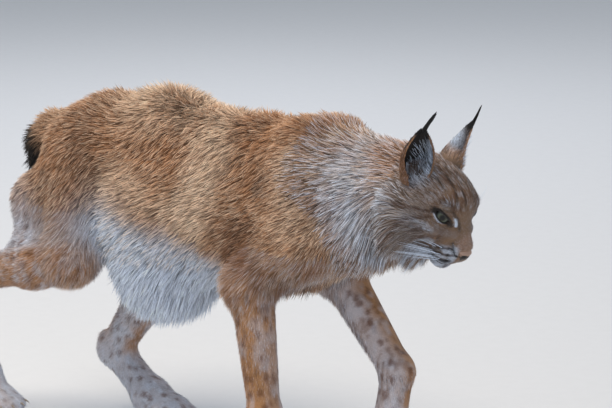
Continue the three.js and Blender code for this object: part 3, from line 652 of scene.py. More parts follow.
def cheek_marks(h, mid, tip, root):
    """Adds the locks of the cheeks and throat, the back of the cheeks, and the hair round and in the ears."""
    white, cream, rufous = colour("white"), colour("cream"), colour("rufous")

    def put(mid_tint, mid_weight, tip_tint, tip_weight):
        mid[:] = mix(mid, mid_tint, mid_weight)
        tip[:] = mix(tip, tip_tint, tip_weight)

    cheek = ramp(-h[:, 0], -22, 14) * ramp(np.abs(h[:, 1]), 30, 50) * (1 - ramp(h[:, 2], -6, 16))
    lock = value_noise(h * np.array([1.0, 1.6, 0.5]), 6.0, 9)
    pale = mix(white[None, :], (colour("spot") * 0.45)[None, :], ramp(lock, -0.05, 0.35))
    put(pale, cheek * 0.8, pale * 1.1, cheek * 0.9)
    root[:] = mix(root, pale * 0.7, cheek * 0.5)
    throat = (1 - ramp(h[:, 2], -70, -50)) * ramp(-lock, -0.5, 0.1)
    put(white * 0.9, throat * 0.85, white * 1.05, throat * 0.9)
    behind = ramp(-h[:, 0], 6, 40) * ramp(h[:, 2], -30, 10)
    orange = ramp(h[:, 2], 0, 34)
    mid_tint = mix(cream[None, :], (rufous * 1.05)[None, :], orange)
    tip_tint = mix((cream * 1.1)[None, :], (rufous * 1.15)[None, :], orange)
    put(mid_tint, behind * 0.8, tip_tint, behind * 0.7)
    by_ear = before_ear(h)
    put(white * 0.9, by_ear * 0.7, white, by_ear * 0.8)
    cup = in_ear_cup(h)
    pale_hairs = ramp(value_noise(h, 5.0, 12), -0.1, 0.4)
    hairs = mix(colour("black")[None, :] * 2.0, white[None, :] * 0.85, pale_hairs)
    put(hairs, cup, hairs, cup)
    root[:] = mix(root, hairs * 0.4, cup)


# Where the trunk and neck change colour: x, z, half length, half height, colour, and how strong it is on
# the hair and on its tips.
PATCHES = (
    (-108, 505, 44, 95, "cream", 0.75, 1.0),
    (-145, 418, 48, 40, "cream", 0.6, 0.9),
    (-225, 580, 120, 40, "cream", 0.8, 0.9),
    (-262, 440, 70, 46, "cream", 0.55, 0.7),
    (-300, 520, 66, 44, "rufous", 0.5, 0.4),
    (-366, 448, 24, 80, "brown", 0.8, 0.6),
    (-388, 455, 20, 46, "rufous", 0.6, 0.4),
    (40, 572, 80, 34, "rufous", 0.75, 0.6),
    (26, 497, 26, 20, "spot", 0.7, 0.5),
    (-15, 465, 42, 46, "rufous", 0.6, 0.4),
    (78, 528, 20, 32, "cream", 0.45, 0.8),
    (-20, 385, 60, 56, "brown", 0.9, 0.8),
    (112, 455, 46, 40, "cream", 0.3, 0.5),
    (138, 500, 34, 44, "brown", 0.5, 0.4),
    (196, 500, 48, 60, "white", 0.6, 0.85),
    (246, 560, 40, 34, "rufous", 0.9, 0.8),
)


def markings(p, share):
    """The colours of hair at its root, middle and tip, from its place and its shares of the body's parts."""
    h = on_head(p)
    y = np.abs(p[:, 1])
    rufous, cream, brown, under = colour("rufous"), colour("cream"), colour("brown"), colour("under")
    white, grey, spot = colour("white"), colour("grey"), colour("spot")
    black, tan = colour("black"), colour("tan")
    broad = value_noise(p, 70.0, 1)
    patch = value_noise(p * np.array([1.0, 1.0, 0.7]), 26.0, 2)
    fine = value_noise(p, 9.0, 3)
    streak = value_noise(p * np.array([1.3, 1.3, 0.45]), 8.0, 15)
    count = len(p)
    mid = np.tile(rufous, (count, 1)) * (1.0 + 0.10 * broad[:, None])
    tip = mix(mid, cream, np.clip(0.5 + 0.5 * patch + 0.35 * fine, 0.0, 0.92))
    root = np.tile(under, (count, 1))

    def put(weight, c, tips=1.0, roots=0.5):
        w = np.clip(weight, 0.0, 1.0)
        mid[:] = mix(mid, c, w)
        tip[:] = mix(tip, c * 1.12, w * tips)
        root[:] = mix(root, c * 0.8, w * roots)

    trunk = np.clip(share["trunk"] + leg_share(share, "upper") + 0.5 * share["tail"], 0, 1)
    front = np.clip(share["neck"], 0, 1)
    rump = trunk * (1 - ramp(p[:, 0], -400, -250)) * ramp(p[:, 2], 250, 330)
    put(rump * (0.4 + 0.25 * patch), brown, 0.45)
    put(front * (0.4 + 0.3 * patch + 0.5 * streak), mix(grey, cream, 0.5), 0.8)
    # Painted shade: the low neck is darkened with brown where its underside is in shade.
    put(front * (1 - ramp(p[:, 2], 385, 440)) * 0.6, brown * 0.75, 0.6)
    locks = mix(white[None, :], (brown * 0.45)[None, :], ramp(streak, -0.15, 0.35))
    put(under_ruff(h) * front * 0.95, locks)
    # Painted shade: the low chest between the forelegs is darkened with brown.
    chest = (1 - ramp(p[:, 2], 320, 400)) * ramp(p[:, 0], -60, 30)
    put(chest * trunk * 0.7, brown * 0.6, 0.8)
    edge_noise = 0.22 * broad + 0.22 * patch
    for x, z, wide, high, name, on_hair, on_tips in PATCHES:
        far = np.sqrt(((p[:, 0] - x) / wide) ** 2 + ((p[:, 2] - z) / high) ** 2) + edge_noise
        amount = (1 - ramp(far, 0.45, 1.5)) * np.clip(trunk + front, 0, 1) * (0.9 + 0.5 * streak)
        put(amount * on_hair, colour(name), on_tips, 0.3)

    line = 392 - 50 * ramp(p[:, 0], -170, -60) + 14 * broad + 8 * patch
    belly = (1 - ramp(p[:, 2], line - 34, line + 26)) * (1 - ramp(p[:, 0], -95, -45))
    belly = belly * ramp(p[:, 0], -420, -340)
    put(belly * share["trunk"] * 0.96, white, 1.0, 0.85)
    inner = (1 - ramp(y, 34, 62)) * (1 - ramp(p[:, 2], 330, 400))
    put(inner * leg_share(share, "upper") * 0.9, white * 0.95, 1.0, 0.8)
    groin = np.exp(-(((p[:, 0] + 318) / 62) ** 2 + ((p[:, 2] - 366) / 50) ** 2)) * 1.25
    put(groin * np.clip(trunk, 0, 1) * 0.95, white, 1.0, 0.8)

    for name, leg in LEGS.items():
        lower = share["lower_" + name]
        side = leg["side"]
        hind = "hip" in leg
        joint = leg["hock"] if hind else leg["wrist"]
        start = leg["knee"] if hind else leg["elbow"]
        put(lower * 0.95, tan * (0.92 + 0.1 * patch[:, None]), 0.8, 0.6)
        axis = unit(joint - start)
        off = p - start
        off = off - (off @ axis)[:, None] * axis
        forward = np.cross(np.array([0.0, 1.0, 0.0]), axis)
        forward = forward if forward[0] > 0 else -forward
        ahead = (off @ forward) / 40.0
        inside = -side * (p[:, 1] - start[1]) / 40.0
        low_front = 1 - ramp(p[:, 2], 150, 280)
        pale = 0.7 * ramp(ahead, 0.55, 1.05) * low_front + ramp(-ahead, 0.6, 1.05) + ramp(inside, 0.2, 0.9)
        put(lower * np.clip(pale, 0, 1) * 0.8, mix(white, tan, 0.06 if hind else 0.3), 1.0, 0.5)
        put(lower * ramp(streak, 0.0, 0.45) * (0.3 if hind else 0.55), brown * 0.8, 0.9, 0.4)
        streaks = ramp(value_noise(p * np.array([1.0, 1.0, 0.4]), 9.0, 21), -0.1, 0.5)
        put(lower * streaks * (0.55 if hind else 0.3), white * 0.95, 1.0, 0.4)
        put(lower * (1 - ramp(p[:, 2], 60, 130)) * 0.4, white * 0.9, 1.0, 0.4)
    legs_low = leg_share(share, "lower")
    legs_high = leg_share(share, "upper") * (1 - ramp(p[:, 2], 330, 420))
    spots = 1 - ramp(cell_distance(p * np.array([1.0, 1.0, 0.8]), 16.5, 4) + 2.8 * fine, 3.0, 7.0)
    put(spots * legs_low * 0.72 * ramp(p[:, 2], 12, 50), spot, 0.9, 0.9)
    put(spots * legs_high * 0.5, spot, 0.7, 0.7)
    faint = 1 - ramp(cell_distance(p, 46.0, 6), 7.0, 15.0)
    put(faint * trunk * (1 - belly) * ramp(p[:, 2], 330, 380) * 0.22, brown * 0.8, 0.6)

    tail = share["tail"]
    along = np.clip((-(p[:, 0] + 482) + 0.9 * np.maximum(502 - p[:, 2], 0)) / 140.0, 0, 1)
    put(tail * 0.9, mix(tan, grey, 0.35), 0.6)
    put(tail * ramp(along, 0.35, 0.7), black, 1.0, 1.0)

    head = share["head"]
    on_it = head > 0.02
    if on_it.any():
        m, t, r = mid[on_it], tip[on_it], root[on_it]
        face_marks(h[on_it], m, t, r)
        cheek_marks(h[on_it], m, t, r)
        for whole, part in ((mid, m), (tip, t), (root, r)):
            whole[on_it] = mix(whole[on_it], part, head[on_it])
    return np.clip(root, 0, 1), np.clip(mid, 0, 1), np.clip(tip, 0, 1)


# Meshes.
def mesh_of(name, points, triangles):
    """A mesh from arrays, in metres."""
    mesh = bpy.data.meshes.new(name)
    mesh.vertices.add(len(points))
    mesh.vertices.foreach_set("co", np.asarray(points, dtype=np.float32).ravel())
    mesh.loops.add(triangles.size)
    mesh.loops.foreach_set("vertex_index", np.asarray(triangles, dtype=np.int32).ravel())
    mesh.polygons.add(len(triangles))
    mesh.polygons.foreach_set("loop_start", np.arange(0, triangles.size, triangles.shape[1], dtype=np.int32))
    mesh.update(calc_edges=True)
    return mesh


def add_colours(mesh, rgb):
    """Gives each corner of a mesh its colour, for the materials to read."""
    layer = mesh.color_attributes.new("Coat", "FLOAT_COLOR", "POINT")
    rgba = np.ones((len(rgb), 4), dtype=np.float32)
    rgba[:, :3] = np.clip(rgb, 0, 1)
    layer.data.foreach_set("color", rgba.ravel())


def placed(name, mesh, material, replaces=(), smooth=True):
    """Links a finished mesh as a piece that rides on the body."""
    piece = bpy.data.objects.new(name, mesh)
    bpy.context.scene.collection.objects.link(piece)
    mesh.materials.append(material)
    mesh.polygons.foreach_set("use_smooth", np.full(len(mesh.polygons), smooth))
    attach(piece, "root")
    if replaces:
        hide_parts(*replaces)
    return piece


def select_only(piece):
    """Operators act on all that is selected, so everything else is let go first."""
    bpy.ops.object.select_all(action="DESELECT")
    piece.select_set(True)
    bpy.context.view_layer.objects.active = piece


def apply_modifier(piece, kind, **settings):
    select_only(piece)
    bpy.ops.object.modifier_add(type=kind)
    modifier = piece.modifiers[-1]
    for key, value in settings.items():
        setattr(modifier, key, value)
    bpy.ops.object.modifier_apply(modifier=modifier.name)


def points_of(mesh):
    flat = np.empty(3 * len(mesh.vertices), dtype=np.float32)
    mesh.vertices.foreach_get("co", flat)
    return flat.reshape(-1, 3).astype(float)


def set_points(mesh, points):
    mesh.vertices.foreach_set("co", np.asarray(points, dtype=np.float32).ravel())
    mesh.update()


def from_row(points):
    """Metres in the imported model's frame to millimetres on the body."""
    return points * 1000.0 - SHIFT


def unit_ball(segments, rings):
    """A ball made by operator, as (points, faces), then removed."""
    bpy.ops.object.select_all(action="DESELECT")
    bpy.ops.mesh.primitive_uv_sphere_add(segments=segments, ring_count=rings, radius=1.0, location=(0, 0, 0))
    ball = bpy.context.object
    points = points_of(ball.data)
    ball.data.calc_loop_triangles()
    faces = np.array([tuple(t.vertices) for t in ball.data.loop_triangles])
    bpy.data.objects.remove(ball, do_unlink=True)
    return points, faces


# Balls and tapering lengths that rough out the head, in its own frame.
HEAD_BALLS = (
    ((2, 0, 4), (70, 60, 55)), ((42, 0, 22), (32, 34, 26)), ((16, 42, -20), (40, 28, 34)),
    ((16, -42, -20), (40, 28, 34)), ((76, 15, -44), (22, 17, 16)), ((76, -15, -44), (22, 17, 16)),
    ((72, 0, -62), (18, 16, 14)),
)
HEAD_LENGTHS = (
    ((45, 0, -18), (86, 0, -34), 34, 22), ((8, 0, -58), (70, 0, -62), 30, 16),
    ((-4, 46, -18), (6, 42, -50), 22, 15), ((-4, -46, -18), (6, -42, -50), 22, 15),
)


def lay_figure():
    """Balls along every bone, joined into one loose mesh that the remesh melts together."""
    ball, faces = unit_ball(16, 10)
    balls = [(centre, 0.94 * np.array(radii)) for centre, radii, _ in (CHEST, WAIST, BELLY, RUMP, THROAT)]

    def along(a, b, ra, rb, steps=6):
        for n in range(steps + 1):
            t = n / steps
            balls.append((a + t * (b - a), np.full(3, 0.9 * (ra + t * (rb - ra)))))

    for length in (TAIL_SET, NECK_LENGTH, *TAIL_LENGTHS):
        along(*length)
    for leg in LEGS.values():
        toe, knuckle = leg["toe"], leg["knuckle"]
        if "hip" in leg:
            hip, knee, hock = leg["hip"], leg["knee"], leg["hock"]
            ham = hip + 0.4 * (hock - hip)
            calf = knee + 0.35 * (hock - knee)
            rise = (hock - knuckle) * at(1, 0, 1)
            along(hip, knee, 70, 50)
            along(hip, ham, 52, 42)
            along(knee, calf, 50, 44)
            along(ham, calf, 42, 40)
            along(calf, hock, 44, 33, 8)
            along(hock, hock + rise * 26 / np.linalg.norm(rise), 28, 19, 3)
            along(hock, knuckle, 31, 30, 9)
        else:
            elbow, wrist = leg["elbow"], leg["wrist"]
            along(leg["blade"], leg["shoulder"], 36, 52)
            along(leg["shoulder"], elbow, 54, 42)
            along(elbow + at(20, 0, -8), wrist, 42, 33, 9)
            along(wrist, knuckle, 33, 33, 4)
        along(knuckle, toe, 31, 28, 4)
        balls.append((toe + at(12, 0, -2), np.array([42.0, 36.0, 22.0])))
    for centre, radii in HEAD_BALLS:
        balls.append((on_body(centre), np.array(radii, dtype=float)))
    for a, b, ra, rb in HEAD_LENGTHS:
        along(on_body(a), on_body(b), ra, rb)
    points = np.concatenate([to_row(centre + ball * radii) for centre, radii in balls])
    triangles = np.concatenate([faces + n * len(ball) for n in range(len(balls))])
    return points, triangles


def ear_axes(side):
    """Where an ear stands, the way it rises, the way its cup opens, and the way across it, on the head."""
    base = at(-20, side * 39, 36)
    up = unit(at(-8, side * 25, 74))
    toward = at(0.8, side * 0.6, 0)
    toward = unit(toward - (toward @ up) * up)
    return base, up, toward, np.cross(up, toward)


def eye_frame(side):
    """The eye's middle, the way it looks, and the long and short axes of its opening, in the head's frame."""
    sight = unit(at(math.cos(EYE_TURN), side * math.sin(EYE_TURN), 0.08))
    corner = at(26, -side * 24, -14)
    along = unit(corner - (corner @ sight) * sight)
    up = np.cross(sight, along)
    up = up if up[2] > 0 else -up
    return eye_place(side), sight, along, up


# The opening of the lids: half its width, how much longer its inner corner is, and its height up and down.
LID_HALF_WIDTH = 14.6
LID_CORNER = 3.0
LID_UP = 5.0
LID_DOWN = 5.8


def opening(angle):
    """The edge of the lids, as (along, up) from the middle of the eye."""
    s = np.sin(angle)
    high = np.where(s > 0, LID_UP, LID_DOWN)
    c = np.cos(angle)
    return LID_HALF_WIDTH * c + LID_CORNER * np.maximum(c, 0) ** 4, high * np.sign(s) * np.abs(s) ** 1.25


def in_opening(h, side):
    """Under 1 inside the opening of the lids, 1 at its edge."""
    centre, sight, along, up = eye_frame(side)
    d = h - centre
    a, b = d @ along, d @ up
    high = np.where(b > 0, LID_UP, LID_DOWN)
    inside = np.abs(a / LID_HALF_WIDTH) ** 2 + np.abs(b / high) ** 1.6
    return np.where(d @ sight > 0, np.sqrt(inside), 9.0)


def head_detail(h, d):
    """Adds the lids, the line of the mouth and the folds of the face to distances from the skin."""
    for side in (-1, 1):
        centre, sight, _, _ = eye_frame(side)
        hollow = 20.0 - np.linalg.norm(h - centre - 26.0 * sight, axis=1)
        d = -smooth_min(-d, -hollow, 7.0)
        away = np.linalg.norm(h - centre, axis=1)
        d = smooth_min(d, away - (EYE_RADIUS + 1.3), 5.0)
    d = d + 1.9 * np.exp(-((line_distance(h, MOUTH) / 1.7) ** 2))
    d = d + 1.3 * np.exp(-((line_distance(h, PHILTRUM) / 1.4) ** 2))
    for fold in CREASES:
        d = d + 0.8 * np.exp(-((line_distance(h, fold) / 2.2) ** 2))
    return d


# The skin's grain, and the face: its middle on the head, and where it is made finer, each time from further
# forward, as the least x on the head.
SKIN_GRAIN = 0.0052
FACE_MIDDLE = at(40, 0, -15)
FACE_FINER_FROM = (-30.0, 14.0)


def subdivide_where(piece, chosen):
    """Cuts the edges between chosen corners in two."""
    select_only(piece)
    bpy.ops.object.mode_set(mode="EDIT")
    bpy.ops.mesh.select_mode(type="VERT")
    bpy.ops.mesh.select_all(action="DESELECT")
    bpy.ops.object.mode_set(mode="OBJECT")
    piece.data.vertices.foreach_set("select", chosen)
    bpy.ops.object.mode_set(mode="EDIT")
    bpy.ops.mesh.select_mode(type="VERT")
    bpy.ops.mesh.subdivide(number_cuts=1, quadcorner="INNERVERT")
    bpy.ops.object.mode_set(mode="OBJECT")


def skin_mesh():
    """The skin: one closed surface under the coat, from the paws to the nose."""
    points, triangles = lay_figure()
    piece = bpy.data.objects.new("skin", mesh_of("skin", points, triangles))
    bpy.context.scene.collection.objects.link(piece)
    apply_modifier(piece, "REMESH", mode="VOXEL", voxel_size=SKIN_GRAIN)
    p = drawn_onto(body, from_row(points_of(piece.data)), 3)
    set_points(piece.data, to_row(p))
    apply_modifier(piece, "SMOOTH", factor=0.5, iterations=6)
    p = from_row(points_of(piece.data))
    for _ in range(2):
        depth = coat_depth(p)
        p = drawn_onto(lambda q: body(q) + depth, p, 3)
    set_points(piece.data, to_row(p))

    for back in FACE_FINER_FROM:
        h = on_head(from_row(points_of(piece.data)))
        subdivide_where(piece, (h[:, 0] > back) & (np.linalg.norm(h - FACE_MIDDLE, axis=1) < 100))
    p = from_row(points_of(piece.data))
    h = on_head(p)
    fine = (h[:, 0] > -45) & (np.linalg.norm(h - FACE_MIDDLE, axis=1) < 110)
    q = p[fine]
    depth = coat_depth(q)
    q = drawn_onto(lambda s: head_detail(on_head(s), body(s) + depth), q, 4)
    hq = on_head(q)
    # Behind the opening of the lids the skin lies inside the eye.
    for side in (-1, 1):
        centre = eye_place(side)
        away = hq - centre
        far = np.linalg.norm(away, axis=1)
        inside = (in_opening(hq, side) < 1.08) & (far < EYE_RADIUS + 8)
        hq[inside] = centre + away[inside] / far[inside, None] * (EYE_RADIUS - 2.5)
    p[fine] = on_body(hq)
    p[:, 2] = np.maximum(p[:, 2], 0.8)
    set_points(piece.data, to_row(p))
    return piece


def unwrap(piece):
    """Lays the piece's own surface out flat, in a map named OFBake."""
    mesh = piece.data
    if not mesh.uv_layers:
        mesh.uv_layers.new(name="OFBake")
    select_only(piece)
    bpy.ops.object.mode_set(mode="EDIT")
    bpy.ops.mesh.select_all(action="SELECT")
    bpy.ops.uv.smart_project(angle_limit=math.radians(66), island_margin=0.002)
    bpy.ops.object.mode_set(mode="OBJECT")


# Materials. Their patterns lie on Object coordinates, in metres, so a noise of scale 1000 / n is n mm wide.
def add_node(tree, kind, settings=None, links=()):
    """Adds a node: settings are inputs or properties by name, links are (input, socket) pairs."""
    node = tree.nodes.new(kind)
    for key, value in (settings or {}).items():
        if isinstance(key, int) or key in node.inputs:
            node.inputs[key].default_value = value
        else:
            setattr(node, key, value)
    for key, socket in links:
        tree.links.new(node.inputs[key], socket)
    return node


def new_material(name):
    material = bpy.data.materials.new(name)
    material.use_nodes = True
    tree = material.node_tree
    tree.nodes.clear()
    output = add_node(tree, "ShaderNodeOutputMaterial")
    shader = add_node(tree, "ShaderNodeBsdfPrincipled")
    tree.links.new(output.inputs["Surface"], shader.outputs["BSDF"])
    return material, tree, shader


def coat_material(name, roughness=0.6, strand_mm=1.2, bump=0.25):
    """Dry keratin hair as it grows. The eye gets soft broken light along each lock, no clear highlight, and
    a little pale sheen at the edges. Real strands are 0.05 mm thick, and they are drawn coarser to show."""
    material, tree, shader = new_material(name)
    place = add_node(tree, "ShaderNodeTexCoord")
    tint = add_node(tree, "ShaderNodeAttribute", {"attribute_name": "Coat"})
    strands = add_node(
        tree, "ShaderNodeTexNoise", {"Scale": 1000.0 / strand_mm, "Detail": 2.0},
        [("Vector", place.outputs["Object"])],
    )
    shade = add_node(
        tree, "ShaderNodeMapRange", {"From Min": 0.25, "From Max": 0.75, "To Min": 0.8, "To Max": 1.16},
        [("Value", strands.outputs["Fac"])],
    )
    mixed = add_node(
        tree, "ShaderNodeVectorMath", {"operation": "MULTIPLY"},
        [(0, tint.outputs["Color"]), (1, shade.outputs["Result"])],
    )
    tree.links.new(shader.inputs["Base Color"], mixed.outputs["Vector"])
    rough = add_node(
        tree, "ShaderNodeMapRange", {"To Min": roughness - 0.08, "To Max": roughness + 0.12},
        [("Value", strands.outputs["Fac"])],
    )
    tree.links.new(shader.inputs["Roughness"], rough.outputs["Result"])
    relief = add_node(
        tree, "ShaderNodeBump", {"Strength": bump, "Distance": 0.0004}, [("Height", strands.outputs["Fac"])],
    )
    tree.links.new(shader.inputs["Normal"], relief.outputs["Normal"])
    shader.inputs["Specular IOR Level"].default_value = 0.3
    shader.inputs["Sheen Weight"].default_value = 0.12
    shader.inputs["Sheen Roughness"].default_value = 0.4
    return material


def leather_material(name):
    """Bare moist skin of the nose, lids and lips. The eye gets fine cells, 0.9 mm across, and a soft, patchy
    shine that is duller in the grooves between them."""
    material, tree, shader = new_material(name)
    place = add_node(tree, "ShaderNodeTexCoord")
    tint = add_node(tree, "ShaderNodeAttribute", {"attribute_name": "Coat"})
    cells = add_node(
        tree, "ShaderNodeTexVoronoi", {"Scale": 1100.0}, [("Vector", place.outputs["Object"])],
    )
    tree.links.new(shader.inputs["Base Color"], tint.outputs["Color"])
    rough = add_node(
        tree, "ShaderNodeMapRange", {"To Min": 0.4, "To Max": 0.6}, [("Value", cells.outputs["Distance"])],
    )
    tree.links.new(shader.inputs["Roughness"], rough.outputs["Result"])
    relief = add_node(
        tree, "ShaderNodeBump", {"Strength": 0.5, "Distance": 0.0003},
        [("Height", cells.outputs["Distance"])],
    )
    tree.links.new(shader.inputs["Normal"], relief.outputs["Normal"])
    return material


def eye_material(name):
    """An iris under its wet cornea. The eye gets fibres, drawn 0.7 mm wide where real ones are finer, and one
    small sharp highlight from the clear layer over them."""
    material, tree, shader = new_material(name)
    place = add_node(tree, "ShaderNodeTexCoord")
    tint = add_node(tree, "ShaderNodeAttribute", {"attribute_name": "Coat"})
    fibres = add_node(
        tree, "ShaderNodeTexNoise", {"Scale": 1400.0, "Detail": 3.0}, [("Vector", place.outputs["Object"])],
    )
    shade = add_node(
        tree, "ShaderNodeMapRange", {"From Min": 0.3, "From Max": 0.7, "To Min": 0.75, "To Max": 1.2},
        [("Value", fibres.outputs["Fac"])],
    )
    mixed = add_node(
        tree, "ShaderNodeVectorMath", {"operation": "MULTIPLY"},
        [(0, tint.outputs["Color"]), (1, shade.outputs["Result"])],
    )
    tree.links.new(shader.inputs["Base Color"], mixed.outputs["Vector"])
    shader.inputs["Roughness"].default_value = 0.5
    shader.inputs["Specular IOR Level"].default_value = 0.1
    shader.inputs["Coat Weight"].default_value = 0.6
    shader.inputs["Coat Roughness"].default_value = 0.03
    return material


def horn_material(name):
    """Claws of worn, smooth horn. The eye gets pale and brown clouds about 1.1 mm wide under a low polish."""
    material, tree, shader = new_material(name)
    place = add_node(tree, "ShaderNodeTexCoord")
    clouds = add_node(
        tree, "ShaderNodeTexNoise", {"Scale": 900.0, "Detail": 3.0}, [("Vector", place.outputs["Object"])],
    )
    tones = add_node(tree, "ShaderNodeValToRGB", None, [("Fac", clouds.outputs["Fac"])])
    tones.color_ramp.elements[0].color = (*linear("#6d5f52"), 1.0)
    tones.color_ramp.elements[1].color = (*linear("#b7a999"), 1.0)
    tree.links.new(shader.inputs["Base Color"], tones.outputs["Color"])
    shader.inputs["Roughness"].default_value = 0.35
    return material


# Tufts.
def tuft_template(rings):
    """Triangles of one tuft, and where the corners of each lie across and along its patch of the map."""
    triangles, corners = [], []
    for r in range(rings - 1):
        for s in range(3):
            a, b = 3 * r + s, 3 * r + (s + 1) % 3
            c, d = 3 * (r + 1) + (s + 1) % 3, 3 * (r + 1) + s
            u0, u1, v0, v1 = s / 3, (s + 1) / 3, r / rings, (r + 1) / rings
            triangles += [(a, b, c), (a, c, d)]
            corners += [((u0, v0), (u1, v0), (u1, v1)), ((u0, v0), (u1, v1), (u0, v1))]
    top = 3 * (rings - 1)
    for s in range(3):
        u0, u1, v0 = s / 3, (s + 1) / 3, (rings - 1) / rings
        triangles.append((top + s, top + (s + 1) % 3, 3 * rings))
        corners.append(((u0, v0), (u1, v0), ((u0 + u1) / 2, 1.0)))
    triangles.append((0, 2, 1))
    corners.append(((0.0, 0.0), (1.0, 0.0), (0.5, 0.1)))
    return np.array(triangles), np.array(corners)


# How wide a tuft is at each ring, as a share of its width, and the width of its patch on the map.
TUFT_PROFILES = {1: (1.0,), 2: (0.8, 1.0), 3: (0.75, 1.0, 0.72)}
TUFT_PATCH = 0.003


def tufts(name, root, out, lie, length, width, lift, colours, uv, material, rings=2, pull=0.3, clump=7.0,
          stray=0.18, drop=None, slot="coat_rufous", contrast=0.10, frost="cream"):
    """Many fine tapered locks as one mesh, each with its root, its way out of the skin, its lie and sizes.
    pull draws the tips of a clump together, drop lets them hang, frost is the colour of the lighter ones."""
    count = len(root)
    rng = np.random.default_rng(len(name) * 977 + count)
    lie = unit(lie + rng.normal(0, stray, (count, 3)))
    lie = unit(lie - (lie * out).sum(axis=1)[:, None] * out)
    length = length * rng.uniform(0.72, 1.18, count)
    lift = np.clip(lift * rng.uniform(0.55, 1.4, count), 0.02, 1.35)
    path = [root - out * 1.2]
    for r in range(rings):
        rise = lift * (1.15, 0.8, 0.55)[r]
        way = lie * np.cos(rise)[:, None] + out * np.sin(rise)[:, None]
        if drop is not None:
            way = unit(way + np.array([0.0, 0.0, -1.0]) * (drop * (r + 1) / rings)[:, None])
        path.append(path[-1] + way * (length / rings)[:, None])

    # Each tuft leans towards the middle one of its clump.
    groups = max(1, int(count / clump))
    centres = rng.choice(count, groups, replace=False)
    tree = kdtree.KDTree(groups)
    for n, centre in enumerate(centres):
        tree.insert(root[centre], n)
    tree.balance()
    nearest = np.array([tree.find(q)[1] for q in root])
    own = centres[nearest]
    for r in range(1, rings + 1):
        path[r] = path[r] + (path[r][own] - path[r]) * (pull * (r / rings) ** 1.3)

    across = unit(np.cross(out, lie))
    twist = rng.uniform(-0.5, 0.5, count)[:, None]
    rows = []
    for r in range(rings):
        ahead = unit(path[r + 1] - path[r])
        up = unit(np.cross(ahead, across))
        side = unit(across + up * twist)
        up = unit(np.cross(ahead, side))
        w = (width * TUFT_PROFILES[rings][r])[:, None]
        ring = [path[r] - side * w / 2, path[r] + side * w / 2, path[r] + up * w * 0.35]
        rows.append(np.stack(ring, axis=1))
    points = np.concatenate([np.concatenate(rows, axis=1), path[rings][:, None, :]], axis=1).reshape(-1, 3)
    points[:, 2] = np.maximum(points[:, 2], 0.5)
    triangles, corners = tuft_template(rings)
    starts = np.arange(count) * (3 * rings + 1)
    mesh = mesh_of(name, to_row(points), (triangles[None] + starts[:, None, None]).reshape(-1, 3))

    tone = contrast * rng.normal(size=count)
    shade = (1.0 + 0.10 * rng.normal(size=groups))[nearest] * (1.0 + np.where(tone > 0, 0.4, 1.0) * tone)
    shade = np.clip(shade, 0.35, 1.6)[:, None]
    root_c, mid_c, tip_c = (c * shade for c in colours)
    pale = np.clip(tone, 0, 0.8) * np.clip(2.5 * colours[2].mean(axis=1), 0.1, 1.0)
    mid_c, tip_c = mix(mid_c, colour(frost), 0.6 * pale), mix(tip_c, colour(frost) * 1.1, 1.3 * pale)
    stops = {
        1: [mix(root_c, mid_c, 0.7), tip_c],
        2: [root_c, mid_c, tip_c],
        3: [root_c, mix(root_c, mid_c, 0.67), mix(mid_c, tip_c, 0.33), tip_c],
    }[rings]
    shades = [np.repeat(c[:, None, :], 3, axis=1) for c in stops[:-1]] + [stops[-1][:, None, :]]
    add_colours(mesh, np.concatenate(shades, axis=1).reshape(-1, 3))
    layer = mesh.uv_layers.new(name="OFBake")
    spread = uv[:, None, None, :] + (corners[None] - 0.5) * TUFT_PATCH
    layer.data.foreach_set("uv", np.clip(spread, 0, 1).astype(np.float32).ravel())
    return placed(name, mesh, material, smooth=False)


class Surface:
    """The skin as arrays, with what the coat needs to know at each of its corners."""

    def __init__(self, piece):
        mesh = piece.data
        self.points = from_row(points_of(mesh))
        normals = np.empty(3 * len(mesh.vertices), dtype=np.float32)
        mesh.vertices.foreach_get("normal", normals)
        self.normals = normals.reshape(-1, 3).astype(float)
        mesh.calc_loop_triangles()
        count = len(mesh.loop_triangles)
        tri = np.empty(3 * count, dtype=np.int32)
        mesh.loop_triangles.foreach_get("vertices", tri)
        self.triangles = tri.reshape(-1, 3)
        loops = np.empty(3 * count, dtype=np.int32)
        mesh.loop_triangles.foreach_get("loops", loops)
        self.loops = loops.reshape(-1, 3)
        uv = np.empty(2 * len(mesh.loops), dtype=np.float32)
        mesh.uv_layers["OFBake"].data.foreach_get("uv", uv)
        self.uv = uv.reshape(-1, 2).astype(float)
        corners = self.points[self.triangles]
        self.area = 0.5 * np.linalg.norm(
            np.cross(corners[:, 1] - corners[:, 0], corners[:, 2] - corners[:, 0]), axis=1
        )
        self.middle = corners.mean(axis=1)
        self.share = shares(self.points)
        self.flow = hair_flow(self.points, self.share)

    def scatter(self, density, seed):
        """Spreads roots over the surface, density of them a square millimetre on each triangle."""
        rng = np.random.default_rng(seed)
        weight = np.cumsum(self.area * density)
        count = int(weight[-1])
        at_weight = (np.arange(count) + rng.uniform(0, 1, count)) * (weight[-1] / count)
        tri = np.minimum(np.searchsorted(weight, at_weight), len(weight) - 1)
        a, b = rng.uniform(0, 1, count), rng.uniform(0, 1, count)
        over = a + b > 1
        a[over], b[over] = 1 - a[over], 1 - b[over]
        part = np.stack([1 - a - b, a, b], axis=1)
        return tri, part

    def read(self, values, tri, part):
        """Values of the corners, at places inside the triangles."""
        corners = values[self.triangles[tri]]
        if corners.ndim == 2:
            return (corners * part).sum(axis=1)
        return (corners * part[:, :, None]).sum(axis=1)

    def read_uv(self, tri, part):
        return (self.uv[self.loops[tri]] * part[:, :, None]).sum(axis=1)


def bone_flow(p, bones):
    """The way down a limb, from the bones nearest each place."""
    total = np.zeros_like(p)
    for a, b, radius in bones:
        off = np.linalg.norm(off_line(p, a, b)[1], axis=1) - radius
        total += unit(b - a)[None, :] * np.exp(-off / 14.0)[:, None]
    return unit(total)


